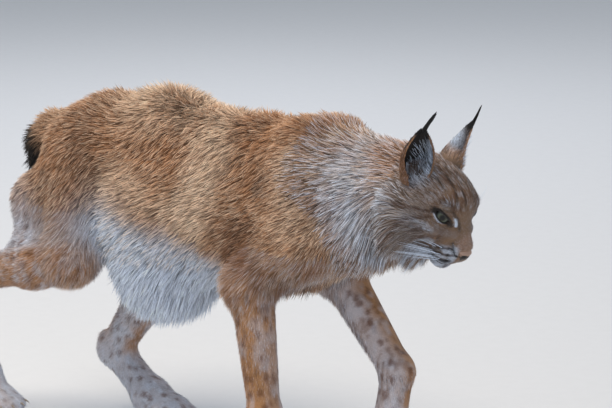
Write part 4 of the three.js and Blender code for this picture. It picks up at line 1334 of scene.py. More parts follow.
def hair_flow(p, share):
    """The lie of the coat: back and down the body, down the limbs, back over the face, out to the ruff."""
    h = on_head(p)
    flow = np.zeros_like(p)
    outward = np.sign(p[:, 1])
    low = 1 - ramp(p[:, 2], 300, 520)
    steep = ramp(p[:, 2], 440, 540) * ramp(p[:, 0], -340, -240) * (1 - ramp(p[:, 0], 80, 160))
    trunk = np.stack([0.75 * steep - 1.0, 0.15 * outward * (1 - low), -0.25 - 0.75 * low - steep], axis=1)
    flow += unit(trunk) * share["trunk"][:, None]
    sink = -0.3 - 0.6 * (1 - ramp(p[:, 2], 400, 540))
    neck = np.stack([-np.ones(len(p)), 0.2 * outward, sink], axis=1)
    flow += unit(neck) * share["neck"][:, None]
    flow += bone_flow(p, [
        (TAIL_ROOT, TAIL_BEND, 30.0), (TAIL_BEND, TAIL_DROP, 30.0), (TAIL_DROP, TAIL_END, 28.0),
    ]) * share["tail"][:, None]
    back_and_down = unit(at(-0.75, 0.0, -0.65))
    for name, leg in LEGS.items():
        joints, radii = ("shoulder", "elbow", "wrist"), (50, 38, 33, 30)
        if "hip" in leg:
            joints, radii = ("hip", "knee", "hock"), (60, 46, 30, 30)
        chain = [leg[joint] for joint in (*joints, "knuckle", "toe")]
        down = bone_flow(p, list(zip(chain[:-1], chain[1:], radii)))
        flow += down * share["lower_" + name][:, None]
        flow += unit(0.5 * down + back_and_down) * share["upper_" + name][:, None]
    ones = np.ones(len(h))
    side = np.sign(h[:, 1]) * ramp(np.abs(h[:, 1]), 2, 14)
    from_nose = unit(h - at(108, 0, -34))
    back = np.stack([-ones, 0.25 * side, -0.05 * ones], axis=1)
    cheek = ramp(-h[:, 0], -50, 10) * (1 - ramp(h[:, 2], -14, 14))
    down = np.stack([-0.2 * ones, 0.35 * side, -0.95 * ones], axis=1)
    on_face = unit(mix(unit(0.6 * from_nose + back), unit(down), cheek * ramp(-h[:, 2], 0, 40)))
    rising = np.stack([-0.3 * ones, 0.4 * side, ones], axis=1)
    on_face = unit(mix(on_face, rising, in_ear_cup(h)))
    flow += (on_face @ HEAD_TURN.T) * share["head"][:, None]
    return unit(flow)


def under_ruff(h):
    """1 on the neck just below the cheeks, where the ruff's long pale hair hangs."""
    return np.exp(-(((h[:, 0] + 10) / 46) ** 2 + ((h[:, 2] + 84) / 36) ** 2)) * ramp(np.abs(h[:, 1]), 8, 26)


def before_ear(h):
    """1 on the skin in front of and below the cup of an ear, where long pale hair covers its edge."""
    near = np.zeros(len(h))
    for side in (-1, 1):
        base, up, toward, across = ear_axes(side)
        d = h - base - 25.0 * toward + 4.0 * up
        away = ((d @ toward) / 9.0) ** 2 + ((d @ across) / 20.0) ** 2 + ((d @ up) / 12.0) ** 2
        near = np.maximum(near, np.exp(-away))
    return near


def in_ear_cup(h):
    """1 on the skin that shows inside the cup of an ear."""
    inside = np.zeros(len(h))
    for side in (-1, 1):
        base, up, toward, across = ear_axes(side)
        d = h - base - 4.0 * toward
        flat = np.sqrt((d @ toward) ** 2 + (d @ across) ** 2)
        here = (1 - ramp(flat, 19, 25)) * ramp(d @ up, -14, -6) * ramp(d @ toward, -15, -5)
        inside = np.maximum(inside, here)
    return inside


def near_place(h, middle, reach):
    """1 at a place on the head and its mirror image, fading out round them over the reach."""
    d = (left_side(h) - middle) / reach
    return np.exp(-(d * d).sum(axis=1))


def coat_shape(p, share):
    """Length, width, lift and density of the coat's tufts at places on the body, and how far they hang."""
    h = on_head(p)
    y = np.abs(p[:, 1])
    trunk, neck, head, tail = share["trunk"], share["neck"], share["head"], share["tail"]
    upper, lower = leg_share(share, "upper"), leg_share(share, "lower")
    ridge = ramp(p[:, 2], 545, 590) * ramp(p[:, 0], -360, -290) * (1 - ramp(p[:, 0], -60, 20))
    ridge = ridge * (1 - ramp(y, 40, 80))
    belly = (1 - ramp(p[:, 2], 265, 350)) * ramp(p[:, 0], -400, -330) * (1 - ramp(p[:, 0], -70, 20))
    chest = (1 - ramp(p[:, 2], 300, 390)) * ramp(p[:, 0], -60, 30)
    lower_height = ramp(p[:, 2], 60, 260)
    ruffs = near_place(h, (4, 58, -50), (36, 28, 30))
    full_ruff = np.clip(ruffs * 1.4, 0, 1)
    throat = (1 - ramp(h[:, 2], -72, -52)) * (1 - ramp(h[:, 0], 34, 62))
    face_front = ramp(h[:, 0], 10, 56)
    crown = mix(hair("crown"), hair("face"), face_front)
    cheek = ramp(-h[:, 0], -52, 4) * (1 - ramp(h[:, 2], -8, 22))
    on_head_length = crown * (1 - cheek) + (crown + 0.35 * hair("ruff")) * cheek
    on_head_length = on_head_length * (1 - full_ruff) + hair("ruff") * full_ruff
    on_head_length = mix(on_head_length, 0.8 * hair("ruff"), throat)
    cup, by_ear = in_ear_cup(h), before_ear(h)
    on_head_length = mix(mix(on_head_length, 19.0, cup), 17.0, by_ear)
    brow = near_place(h, (58, 34, 26), (12, 14, 7))
    on_head_length = on_head_length + 4.0 * brow
    low_neck = 1 - ramp(p[:, 2], 380, 440)
    length = (
        trunk * mix(mix(hair("flank"), hair("back"), ridge), hair("belly"), belly)
        + neck * mix(hair("neck"), 1.3 * hair("neck"), low_neck)
        + head * on_head_length
        + tail * hair("tail")
        + upper * hair("thigh")
        + lower * mix(hair("foot"), hair("leg"), lower_height)
    )
    below = np.clip(1.3 * under_ruff(h), 0, 1) * neck
    length = mix(mix(length, 1.9 * hair("flank"), chest * trunk), 0.85 * hair("ruff"), below)
    long_hair = np.clip(ruffs + throat, 0, 1)
    lift = (
        trunk * (0.58 + 0.28 * ridge + 0.05 * belly)
        + neck * 0.5
        + head * (0.30 + 0.22 * long_hair + 0.3 * cup + 0.35 * brow + 0.25 * by_ear)
        + tail * 0.6 + upper * 0.45 + lower * 0.35
    )
    hang = belly * trunk + chest * 1.1 + neck * 0.5 * low_neck + head * 2.0 * long_hair + 1.6 * below
    density = (
        trunk * (0.116 + 0.10 * ridge + 0.03 * belly)
        + neck * 0.19
        + head * (0.42 + 0.85 * face_front)
        + tail * 0.18 + upper * 0.17 + lower * 0.21
    )
    width = np.clip(0.028 * length + 0.72, 0.75, 2.2)
    width = width * (1 - 0.25 * head * face_front)
    return length, width, lift, density, hang


# The coat's pieces, with what sets each one's tufts apart: their rings, one for short hair and three for long
# hair that bends, how much lighter and darker they run, and how they clump.
LEG_MAKE = dict(rings=1, contrast=0.32, frost="white", stray=0.16)
COAT_MAKE = {
    "back": dict(contrast=0.42, clump=9.0, pull=0.5),
    "flank_right": dict(contrast=0.42),
    "flank_left": dict(contrast=0.42),
    "belly": dict(rings=3, contrast=0.26, frost="white", slot="coat_pale"),
    "neck": dict(contrast=0.6, frost="white", pull=0.4),
    "face": dict(rings=1, contrast=0.45, frost="white", stray=0.14, pull=0.2),
    "cheeks": dict(rings=3, contrast=0.6, frost="white", pull=0.4, clump=9.0),
    "tail": dict(contrast=0.3),
    "foreleg_right": LEG_MAKE,
    "foreleg_left": LEG_MAKE,
    "hindleg_right": LEG_MAKE,
    "hindleg_left": LEG_MAKE,
}
COAT_REGIONS = tuple(COAT_MAKE)

# The most triangles that one piece may have.
PIECE_LIMIT = 199000


def region_of(p, share):
    """Which coat piece each place belongs to, as its number in COAT_REGIONS."""
    h = on_head(p)
    number = {name: n for n, name in enumerate(COAT_REGIONS)}
    region = np.where(p[:, 1] < 0, number["flank_right"], number["flank_left"])
    region = np.where(p[:, 2] > 545, number["back"], region)
    region = np.where((p[:, 2] < 330) & (p[:, 0] > -400), number["belly"], region)
    region = np.where(share["neck"] > 0.5, number["neck"], region)
    for name in LEGS:
        own = share["lower_" + name] + share["upper_" + name] * (p[:, 2] < 400)
        region = np.where(own > 0.5, number[name.replace("_", "leg_")], region)
    region = np.where(share["tail"] > 0.5, number["tail"], region)
    region = np.where(share["head"] > 0.5, number["cheeks"], region)
    region = np.where((share["head"] > 0.5) & (h[:, 0] > 22), number["face"], region)
    return region


def near_nose(h):
    """Places on the nose pad, where no hair grows."""
    d = (h - (NOSE_AT + at(-1, 0, -3))) / np.array([11.5, 15.0, 12.0])
    return (d * d).sum(axis=1) < 1.0


def tube(path, radii, sides=8, up=(0, 0, 1)):
    """A closed tapering tube along a path, as points and triangles."""
    path = np.asarray(path, dtype=float)
    radii = np.asarray(radii, dtype=float)
    run = unit(np.gradient(path, axis=0))
    side = unit(np.cross(np.asarray(up, dtype=float)[None, :], run))
    top = np.cross(run, side)
    angle = np.arange(sides) / sides * 2 * math.pi
    ring = np.cos(angle)[None, :, None] * side[:, None, :] + np.sin(angle)[None, :, None] * top[:, None, :]
    points = (path[:, None, :] + ring * radii[:, None, None]).reshape(-1, 3)
    points = np.concatenate([points, path[:1], path[-1:]])
    triangles = []
    last = len(path) - 1
    for r in range(last):
        for s in range(sides):
            a, b = r * sides + s, r * sides + (s + 1) % sides
            c, d = a + sides, b + sides
            triangles += [(a, b, d), (a, d, c)]
    first, end = len(path) * sides, len(path) * sides + 1
    for s in range(sides):
        t = (s + 1) % sides
        triangles += [(first, t, s), (end, last * sides + s, last * sides + t)]
    return points, np.array(triangles)


def joined(parts):
    """Several (points, triangles) as one."""
    points, triangles, start = [], [], 0
    for p, t in parts:
        points.append(p)
        triangles.append(t + start)
        start += len(p)
    return np.concatenate(points), np.concatenate(triangles)


def one_colour(mesh, rgb):
    add_colours(mesh, np.tile(np.asarray(rgb), (len(mesh.vertices), 1)))


def curve_through(points, count):
    """A smooth line of count places that passes through the given ones."""
    pts = np.asarray(points, dtype=float)
    pts = np.concatenate([2 * pts[:1] - pts[1:2], pts, 2 * pts[-1:] - pts[-2:-1]])
    line = []
    spans = len(pts) - 3
    for n in range(count):
        t = n / (count - 1) * spans
        k = min(int(t), spans - 1)
        u = t - k
        a, b, c, d = pts[k:k + 4]
        bend = (2 * a - 5 * b + 4 * c - d) * u * u
        line.append(0.5 * (2 * b + (c - a) * u + bend + (3 * b - a - 3 * c + d) * u ** 3))
    return np.array(line)


def face_surface(h):
    """Draws places in the head's frame onto the skin of the face."""
    p = on_body(h)
    depth = coat_depth(p)
    return on_head(drawn_onto(lambda q: body(q) + depth, p, 4))


# The ears.
EAR_LEVELS = np.array([
    # height, half width, depth, half turn of the sheet in degrees, thickness
    [-0.20, 24, 22, 150, 4.0],
    [0.0, 27, 24, 142, 3.4],
    [0.16, 28, 23, 128, 2.8],
    [0.34, 27, 19, 116, 2.3],
    [0.52, 23.5, 15, 108, 2.0],
    [0.72, 17, 10.5, 101, 1.7],
    [0.9, 9, 6, 95, 1.4],
    [1.0, 3.0, 2.6, 90, 1.2],
])


def ear_sheet(side, inset, rows=34, arc=41, shrink=1.2):
    """Places on the outer face (inset 0) or inner face (inset 1) of the ear, in the head's frame."""
    base, up, toward, across = ear_axes(side)
    levels = np.linspace(-0.20, 1.0, rows)
    get = [np.interp(levels, EAR_LEVELS[:, 0], EAR_LEVELS[:, n]) for n in range(1, 5)]
    grid = np.empty((rows, arc, 3))
    for r, level in enumerate(levels):
        wide, deep, half, thick = (g[r] for g in get)
        middle = base + up * level * EAR_HEIGHT + toward * (6 - 6 * level)
        turn_by = math.radians(half) * np.linspace(-1, 1, arc)
        thin = 1.0 - 0.85 * np.abs(np.linspace(-1, 1, arc)) ** 5
        gap = shrink + inset * min(thick, 0.6 * deep) * thin
        out = middle - toward * ((deep - gap) * np.cos(turn_by))[:, None]
        grid[r] = out + across * (np.maximum(wide - gap, 0.8) * np.sin(turn_by))[:, None]
    return grid, levels


def ear_shell(side):
    """The ear's thin shell as points and triangles, with the places of its two faces and their levels."""
    outer, levels = ear_sheet(side, 0.0)
    inner, _ = ear_sheet(side, 1.0)
    rows, arc = outer.shape[:2]
    points = np.concatenate([outer.reshape(-1, 3), inner.reshape(-1, 3)])
    half = rows * arc
    triangles = []

    def quad(a, b, c, d):
        triangles.extend([(a, b, c), (a, c, d)])

    for r in range(rows - 1):
        for s in range(arc - 1):
            a, b, c, d = r * arc + s, r * arc + s + 1, (r + 1) * arc + s + 1, (r + 1) * arc + s
            quad(a, b, c, d)
            quad(half + d, half + c, half + b, half + a)
    for r in range(rows - 1):
        a, d = r * arc, (r + 1) * arc
        quad(d, half + d, half + a, a)
        a, d = a + arc - 1, d + arc - 1
        quad(a, half + a, half + d, d)
    for s in range(arc - 1):
        quad(half + s, half + s + 1, s + 1, s)
        top = (rows - 1) * arc
        quad(top + s, top + s + 1, half + top + s + 1, half + top + s)
    return points, np.array(triangles), outer, inner, levels


def closed_out(piece):
    """Turns every face of a closed piece outwards."""
    select_only(piece)
    bpy.ops.object.mode_set(mode="EDIT")
    bpy.ops.mesh.select_all(action="SELECT")
    bpy.ops.mesh.normals_make_consistent(inside=False)
    bpy.ops.object.mode_set(mode="OBJECT")


def ear_colours(level, turn_by, inner, side):
    """The ear: black tip and back with a white patch, tan rim, pale front edge, dark within."""
    black, white, tan, face = colour("black"), colour("white"), colour("tan"), colour("face")
    edge = np.abs(turn_by)
    if inner:
        c = mix(np.tile(black * 1.6, (len(level), 1)), colour("grey") * 0.5, ramp(level, 0.1, -0.2))
        c = mix(c, face, ramp(edge, 0.975, 1.0) * 0.5)
        return c
    c = np.tile(face * 0.8, (len(level), 1))
    c = mix(c, tan, ramp(level, 0.1, 0.35) * 0.7)
    spot = np.exp(-(((level - 0.5) / 0.2) ** 2 + ((turn_by * side + 0.1) / 0.5) ** 2))
    dark = ramp(level, 0.28, 0.42) * (1 - ramp(edge, 0.8, 0.95))
    c = mix(c, black * 1.4, dark * 0.9)
    c = mix(c, white * 0.85, np.clip(spot * 1.25, 0, 1) * 0.9)
    c = mix(c, black * 1.2, ramp(level, 0.72, 0.84))
    c = mix(c, tan * 1.1, ramp(edge, 0.95, 0.99) * (1 - ramp(level, 0.74, 0.9)) * 0.8)
    return c


def grid_at(grid, v, u):
    """Places on a grid of points, v of the way up its rows and u of the way along them."""
    rows, arc = grid.shape[:2]
    r = np.clip(v * (rows - 1), 0, rows - 1.001)
    s = np.clip(u * (arc - 1), 0, arc - 1.001)
    i, j = r.astype(int), s.astype(int)
    fr, fs = (r - i)[:, None], (s - j)[:, None]
    return (grid[i, j] * (1 - fr) * (1 - fs) + grid[i + 1, j] * fr * (1 - fs)
            + grid[i, j + 1] * (1 - fr) * fs + grid[i + 1, j + 1] * fr * fs)


def make_ear_fur(side, tag, materials, outer, inner, levels, rng):
    """The ear's hair: short over its back and rim, longer at its foot, and long and white across its cup."""
    _, up, toward, across = ear_axes(side)
    rows, arc = outer.shape[:2]
    middle = np.repeat(outer.mean(axis=1)[:, None, :], arc, axis=1)
    made = []

    def add(v, u, lie, length, lift, width, inside=False, tint=None):
        root = grid_at(inner if inside else outer, v, u)
        out = unit(root - grid_at(middle, v, u)) * (-1.0 if inside else 1.0)
        level = np.interp(v, np.linspace(0, 1, rows), levels)
        c = ear_colours(level, 2 * u - 1, inside, side) if tint is None else np.tile(tint, (len(v), 1))
        lie = np.broadcast_to(lie, root.shape) @ HEAD_TURN.T
        uv = np.stack([0.02 + 0.96 * u, 0.02 + 0.46 * v + (0.5 if inside else 0.0)], axis=1)
        wide, raised = np.full(len(v), width), np.full(len(v), lift)
        made.append((on_body(root), out @ HEAD_TURN.T, lie, length, wide, raised, c, uv))

    front = 1.0 if (across @ at(1, -side * 0.5, 0)) > 0 else -1.0
    count = int(4200 * fullness())
    v, u = rng.uniform(0.12, 0.97, count), rng.uniform(0.0, 1.0, count)
    add(v, u, up, 5.0 + 3.0 * (1 - v), 0.2, 0.95)
    # Longer hair low on the back edge hides the seam with the neck.
    count = int(900 * fullness())
    v = rng.beta(1.0, 1.8, count) * 0.6
    u = 0.5 - front * (0.5 - 0.16 * rng.beta(1.0, 2.0, count))
    long = rng.uniform(9, 16, count)
    add(v, u, up + 0.25 * toward, long, 0.5, 0.9, tint=mix(colour("tan"), colour("brown"), 0.4))
    count = int(700 * fullness())
    v = rng.uniform(0.1, 0.95, count)
    at_start = rng.uniform(size=count) < 0.5
    u = np.where(at_start, rng.uniform(0.0, 0.03, count), rng.uniform(0.97, 1.0, count))
    add(v, u, up + 0.3 * toward, np.full(count, 5.0), 0.2, 0.8)
    # Long white hair from the front edge, across the opening.
    count = int(430 * fullness())
    v = rng.beta(1.6, 2.0, count) * 0.62 + 0.08
    u = 0.5 + front * (0.46 - rng.beta(1.2, 1.8, count) * 0.5)
    lie = up * 1.1 - across * front * 0.8 + toward * 0.25
    add(v, u, lie, rng.uniform(13, 28, count), 0.42, 0.8, True, colour("white") * 0.95)
    count = int(500 * fullness())
    v = rng.uniform(0.08, 0.8, count)
    u = rng.uniform(0.1, 0.9, count)
    add(v, u, up, np.full(count, 7.0), 0.25, 0.9, True)
    root, out, lie, length, width, lift, c, uv = (np.concatenate(column) for column in zip(*made))
    tufts(
        f"ear_fur_{tag}", root, out, lie, length, width, lift, (c * 0.75, c, c * 1.12), uv,
        materials["coat"], stray=0.12, pull=0.2, slot="coat_pale", contrast=0.35, frost="white",
    )


def make_ear_tuft(side, tag, materials, rng):
    """The black tuft: long fine hairs that leave the tip together and curve inward."""
    base, up, toward, across = ear_axes(side)
    count = int(150 * max(fullness(), 0.6))
    start = base + up * (EAR_HEIGHT - 8)
    turn_by = rng.uniform(0, 2 * math.pi, count)
    spread = np.sqrt(rng.uniform(0, 1, count))
    offset = (np.cos(turn_by) * spread * 4.4)[:, None] * across
    offset = offset + (np.sin(turn_by) * spread * 3.0)[:, None] * toward
    parts = []
    for n in range(count):
        length = hair("ear_tuft") * (1.02 - 0.45 * rng.uniform() ** 1.6)
        low = -7.0 * spread[n]
        path = []
        for t in (0.0, 0.2, 0.4, 0.6, 0.8, 1.0):
            bend = at(0.2, -0.75 * side, 0) * t ** 1.8 * 0.55 * length
            path.append(start + offset[n] * (1 - 0.7 * t) + up * (low + t * length) + bend)
        parts.append(tube(path, [0.62, 0.68, 0.62, 0.5, 0.34, 0.08], 4))
    p, t = joined(parts)
    mesh = mesh_of(f"ear_tuft_{tag}", to_row(on_body(p)), t)
    one_colour(mesh, colour("black"))
    placed(f"ear_tuft_{tag}", mesh, materials["coat"], (), False)
    # Each hair has its own small patch of the map, in rows of 13.
    layer = mesh.uv_layers.new(name="OFBake")
    which = np.arange(len(t)) // len(parts[0][1])
    spot_uv = np.stack([0.05 + 0.9 * (which % 13) / 13, 0.05 + 0.9 * (which // 13) / 13], axis=1)
    corner = TUFT_PATCH * np.array([[0, 0], [1, 0], [0.5, 1]])
    layer.data.foreach_set("uv", (spot_uv[:, None, :] + corner[None]).astype(np.float32).ravel())


def make_ear(side, tag, materials):
    """One ear: its shell, its hair and its black tuft."""
    points, triangles, outer, inner, levels = ear_shell(side)
    rows, arc = outer.shape[:2]
    level = np.repeat(levels, arc)
    turn_by = np.tile(np.linspace(-1, 1, arc), rows)
    mesh = mesh_of(f"ear_shell_{tag}", to_row(on_body(points)), triangles)
    add_colours(mesh, np.concatenate([ear_colours(level, turn_by, inside, side) for inside in (False, True)]))
    shell = placed(f"ear_shell_{tag}", mesh, materials["skin"], (f"ear_{tag}",))
    unwrap(shell)
    closed_out(shell)
    rng = np.random.default_rng(31 + side)
    make_ear_fur(side, tag, materials, outer, inner, levels, rng)
    make_ear_tuft(side, tag, materials, rng)


# Eyes and lids.
def make_eye(side, tag, materials):
    """One eyeball, with its iris and pupil as rings of colour round the line of sight."""
    centre, sight, along, up = eye_frame(side)
    points, triangles = unit_ball(48, 32)
    # The ball's pole looks along the line of sight, so that its rings are round the pupil.
    turned = points[:, 2:3] * sight + points[:, 0:1] * along + points[:, 1:2] * up
    toward = np.clip(points[:, 2], -1, 1)
    bulge = 1.0 + 0.05 * ramp(toward, 0.62, 0.9)
    placed_points = centre + turned * (EYE_RADIUS * bulge)[:, None]
    mesh = mesh_of(f"eyeball_{tag}", to_row(on_body(placed_points)), triangles)
    angle = np.degrees(np.arccos(toward))
    iris, black = colour("iris"), colour("black")
    rgb = np.tile(black * 1.2, (len(points), 1))
    rgb = mix(rgb, iris * 0.3, 1 - ramp(angle, 36, 42))
    rgb = mix(rgb, iris * 0.62, 1 - ramp(angle, 28, 35))
    rgb = mix(rgb, iris * np.array([0.8, 0.68, 0.42]), (1 - ramp(angle, 20, 27)) * 0.7)
    rgb = mix(rgb, black * 0.08, 1 - ramp(angle, 15.5, 19.0))
    add_colours(mesh, rgb)
    eye = placed(f"eyeball_{tag}", mesh, materials["eye"], (f"eye_{tag}",))
    closed_out(eye)
    unwrap(eye)


# The rings of a lid's rim, from the eye outward and back under: how wide the opening is there, how high the
# ring lies on the eye, in mm, and how light it is.
# The darker rings, against the eye and under the rim, are painted shade.
LID_RINGS = (
    (0.93, 0.25, 0.5), (0.90, 1.0, 0.7), (0.98, 2.2, 1.0), (1.12, 2.6, 1.6),
    (1.28, 2.0, 2.2), (1.36, 0.4, 2.6), (1.2, -1.2, 1.0), (1.02, -0.8, 0.6),
)


def make_lids(side, tag, materials):
    """The rims of the lids, lying on the eye round its opening."""
    centre, sight, along, up = eye_frame(side)
    a, b = opening(np.arange(64) / 64 * 2 * math.pi)
    rings, shades = [], []
    for grow, lift, light in LID_RINGS:
        aa, bb = a * grow, b * grow
        depth = np.sqrt(np.maximum((EYE_RADIUS + lift) ** 2 - aa ** 2 - bb ** 2, 1.0))
        rings.append(centre + depth[:, None] * sight + aa[:, None] * along + bb[:, None] * up)
        # Painted shade: the rings against the eye and under the rim are darker.
        shades.append(np.tile(light * colour("black") * 1.3, (len(a), 1)))
    ring = np.stack(rings, axis=1)
    n, m = ring.shape[:2]
    triangles = []
    for i in range(n):
        for j in range(m):
            k, q = (i + 1) % n, (j + 1) % m
            triangles += [(i * m + j, k * m + j, k * m + q), (i * m + j, k * m + q, i * m + q)]
    mesh = mesh_of(f"lids_{tag}", to_row(on_body(ring.reshape(-1, 3))), np.array(triangles))
    add_colours(mesh, np.stack(shades, axis=1).reshape(-1, 3))
    lids = placed(f"lids_{tag}", mesh, materials["leather"], ())
    closed_out(lids)
    unwrap(lids)


# The nose: how far its pad leans, in degrees, and the line of a nostril from its mouth, with its radii.
NOSE_LEAN = math.degrees(0.4)
NOSTRIL = (at(10, 5.0, -1), at(7.8, 8.0, -2.2), at(3.4, 12.0, -2.0), at(-3, 16.5, 1.6))
NOSTRIL_RADII = (1.9, 2.6, 1.9, 1.1)


def nose_field(h):
    """The nose pad and its nostrils, in the head's frame."""
    q = h - NOSE_AT
    upper = ellipsoid(at(0, 0, 0), (9.6, 15.2, 8.4), NOSE_LEAN)(q)
    lower = ellipsoid(at(-2, 0, -8), (7.0, 8.0, 7.8), NOSE_LEAN)(q)
    d = smooth_min(upper, lower, 5.0)
    for n in range(3):
        bore = taper(NOSTRIL[n], NOSTRIL[n + 1], NOSTRIL_RADII[n], NOSTRIL_RADII[n + 1])
        d = -smooth_min(-d, bore(left_side(q)), 1.6)
    groove = (np.abs(q[:, 1]) - 0.6) / 0.9
    return d + 0.9 * np.exp(-(groove ** 2)) * (q[:, 2] < 1) * (q[:, 0] > 0)


def make_nose(materials):
    """The nose pad, pale above and dark below, with painted shade in the nostrils."""
    points, triangles = unit_ball(96, 64)
    h = NOSE_AT + at(-1, 0, -3) + points * np.array([10.0, 14.0, 11.0])
    h = drawn_onto(nose_field, h, 6)
    mesh = mesh_of("nose_pad", to_row(on_body(h)), triangles)
    q = h - NOSE_AT
    leather, black = colour("leather"), colour("black")
    rgb = np.tile(leather, (len(h), 1))
    lower = 1 - ramp(q[:, 2] - 0.35 * q[:, 0], -4.2, -1.2)
    rgb = mix(rgb, black * 1.3, lower * 0.95)
    # Painted shade inside the nostrils.
    near = taper(at(9, 5.5, -1.6), at(-2, 13.5, 0), 2.4, 1.6)(left_side(q))
    rgb = mix(rgb, black * 0.8, 1 - ramp(near, -0.2, 1.6))
    add_colours(mesh, rgb)
    nose = placed("nose_pad", mesh, materials["leather"], ("nose",))
    closed_out(nose)
    unwrap(nose)


def make_lips(materials):
    """The dark edge of the lips, sunk in the line of the mouth."""
    parts = []
    for side in (-1, 1):
        path = curve_through([p * at(1, side, 1) for p in MOUTH], 40)
        path = face_surface(path)
        radii = np.interp(np.arange(40), [0, 4, 30, 39], [0.3, 1.1, 1.25, 1.0])
        parts.append(tube(path - at(0.6, 0, 0), radii, 8))
    path = face_surface(curve_through(PHILTRUM, 14))
    parts.append(tube(path - at(0.5, 0, 0), np.full(14, 0.8), 8, up=(0, 1, 0)))
    p, t = joined(parts)
    mesh = mesh_of("lips", to_row(on_body(p)), t)
    one_colour(mesh, colour("black") * 0.9)
    lips = placed("lips", mesh, materials["leather"], ())
    unwrap(lips)


def whisker(root, aim, droop, length, thick, steps):
    """One whisker from its root, bending towards droop as it goes."""
    path = [root + aim * t * length + droop * t * t * length for t in np.linspace(0, 1, steps)]
    return tube(path, np.linspace(*thick, steps), 5)


def make_whiskers(materials):
    """Stiff white whiskers in rows from the muzzle, and a few over each eye."""
    rng = np.random.default_rng(5)
    parts = []
    for side in (-1, 1):
        for row, place in WHISKER_ROWS:
            if place == 0:
                continue
            root = face_surface(whisker_place(row, place, side)[None, :])[0]
            length = 34 + 11 * place + rng.uniform(-6, 8)
            out, rise = 0.75 + 0.1 * rng.normal(), 0.12 - 0.16 * row + 0.08 * rng.normal()
            aim = unit(at(-0.75, side * out, rise))
            parts.append(whisker(root, aim, at(-0.35, 0, -0.22), length, (0.55, 0.12), 9))
        for n in range(3):
            root = face_surface(at(60 - 3 * n, side * (27 + 2.6 * n), 27)[None, :])[0]
            length = 26 + rng.uniform(-6, 8)
            aim = unit(at(0.15, side * (0.5 + 0.2 * n), 0.8))
            parts.append(whisker(root, aim, at(-0.4, 0, 0), length, (0.2, 0.05), 8))
    p, t = joined(parts)
    mesh = mesh_of("whiskers", to_row(on_body(p)), t)
    one_colour(mesh, colour("white") * 1.05)
    whiskers = placed("whiskers", mesh, materials["coat"], ())
    unwrap(whiskers)


def make_claws(materials):
    """The tips of the claws, between the hair of each toe."""
    parts = []
    for leg in LEGS.values():
        for _, way, tip in toe_tips(leg["knuckle"], leg["toe"]):
            root = tip + way * 11 + at(0, 0, 5)
            path = [root + way * 9 * t + at(0, 0, -5.5) * t * t for t in np.linspace(0, 1, 8)]
            parts.append(tube(path, [1.9, 1.9, 1.7, 1.5, 1.2, 0.9, 0.5, 0.1], 10, up=(0, 0, 1)))
    p, t = joined(parts)
    p[:, 2] = np.maximum(p[:, 2], 0.6)
    mesh = mesh_of("claws", to_row(p), t)
    claws = placed("claws", mesh, materials["horn"], ())
    unwrap(claws)


# What one operator makes and another needs: the finishes, and the skin as a Surface.
STATE = {}


def materials():
    """The finishes, made once."""
    if "materials" not in STATE:
        STATE["materials"] = {
            "coat": coat_material("Dry guard hair"),
            "skin": coat_material("Short dry hair on skin", 0.65, 1.6, 0.6),
            "leather": leather_material("Moist bare skin"),
            "eye": eye_material("Wet cornea over iris"),
            "horn": horn_material("Smooth worn horn"),
        }
    return STATE["materials"]


class LYNX_OT_skin(bpy.types.Operator):
    """Makes the skin under the coat, from balls along the bones"""

    bl_idname = "lynx.skin"
    bl_label = "Skin"

    def execute(self, context):
        piece = skin_mesh()
        mesh = piece.data
        unwrap(piece)
        surface = Surface(piece)
        root, mid, _ = markings(surface.points, surface.share)
        add_colours(mesh, mix(root, mid, np.full(len(mid), 0.6)))
        mesh.materials.append(materials()["skin"])
        mesh.polygons.foreach_set("use_smooth", np.full(len(mesh.polygons), True))
        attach(piece, "root")
        flesh = [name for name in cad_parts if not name.startswith(("eye_", "ear_", "nose"))]
        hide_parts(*flesh)
        STATE["surface"] = surface
        return {"FINISHED"}


class LYNX_OT_eyes(bpy.types.Operator):
    """Makes the eyes and their lids"""

    bl_idname = "lynx.eyes"
    bl_label = "Eyes"

    def execute(self, context):
        for side, tag in ((-1, "right"), (1, "left")):
            make_eye(side, tag, materials())
            make_lids(side, tag, materials())
        return {"FINISHED"}


class LYNX_OT_muzzle(bpy.types.Operator):
    """Makes the nose pad, the lips and the whiskers"""

    bl_idname = "lynx.muzzle"
    bl_label = "Muzzle"

    def execute(self, context):
        make_nose(materials())
        make_lips(materials())
        make_whiskers(materials())
        return {"FINISHED"}


class LYNX_OT_ears(bpy.types.Operator):
    """Makes the ears, their hair and their black tufts"""

    bl_idname = "lynx.ears"
    bl_label = "Ears"

    def execute(self, context):
        for side, tag in ((-1, "right"), (1, "left")):
            make_ear(side, tag, materials())
        return {"FINISHED"}


class LYNX_OT_claws(bpy.types.Operator):
    """Makes the claws"""

    bl_idname = "lynx.claws"
    bl_label = "Claws"

    def execute(self, context):
        make_claws(materials())
        return {"FINISHED"}


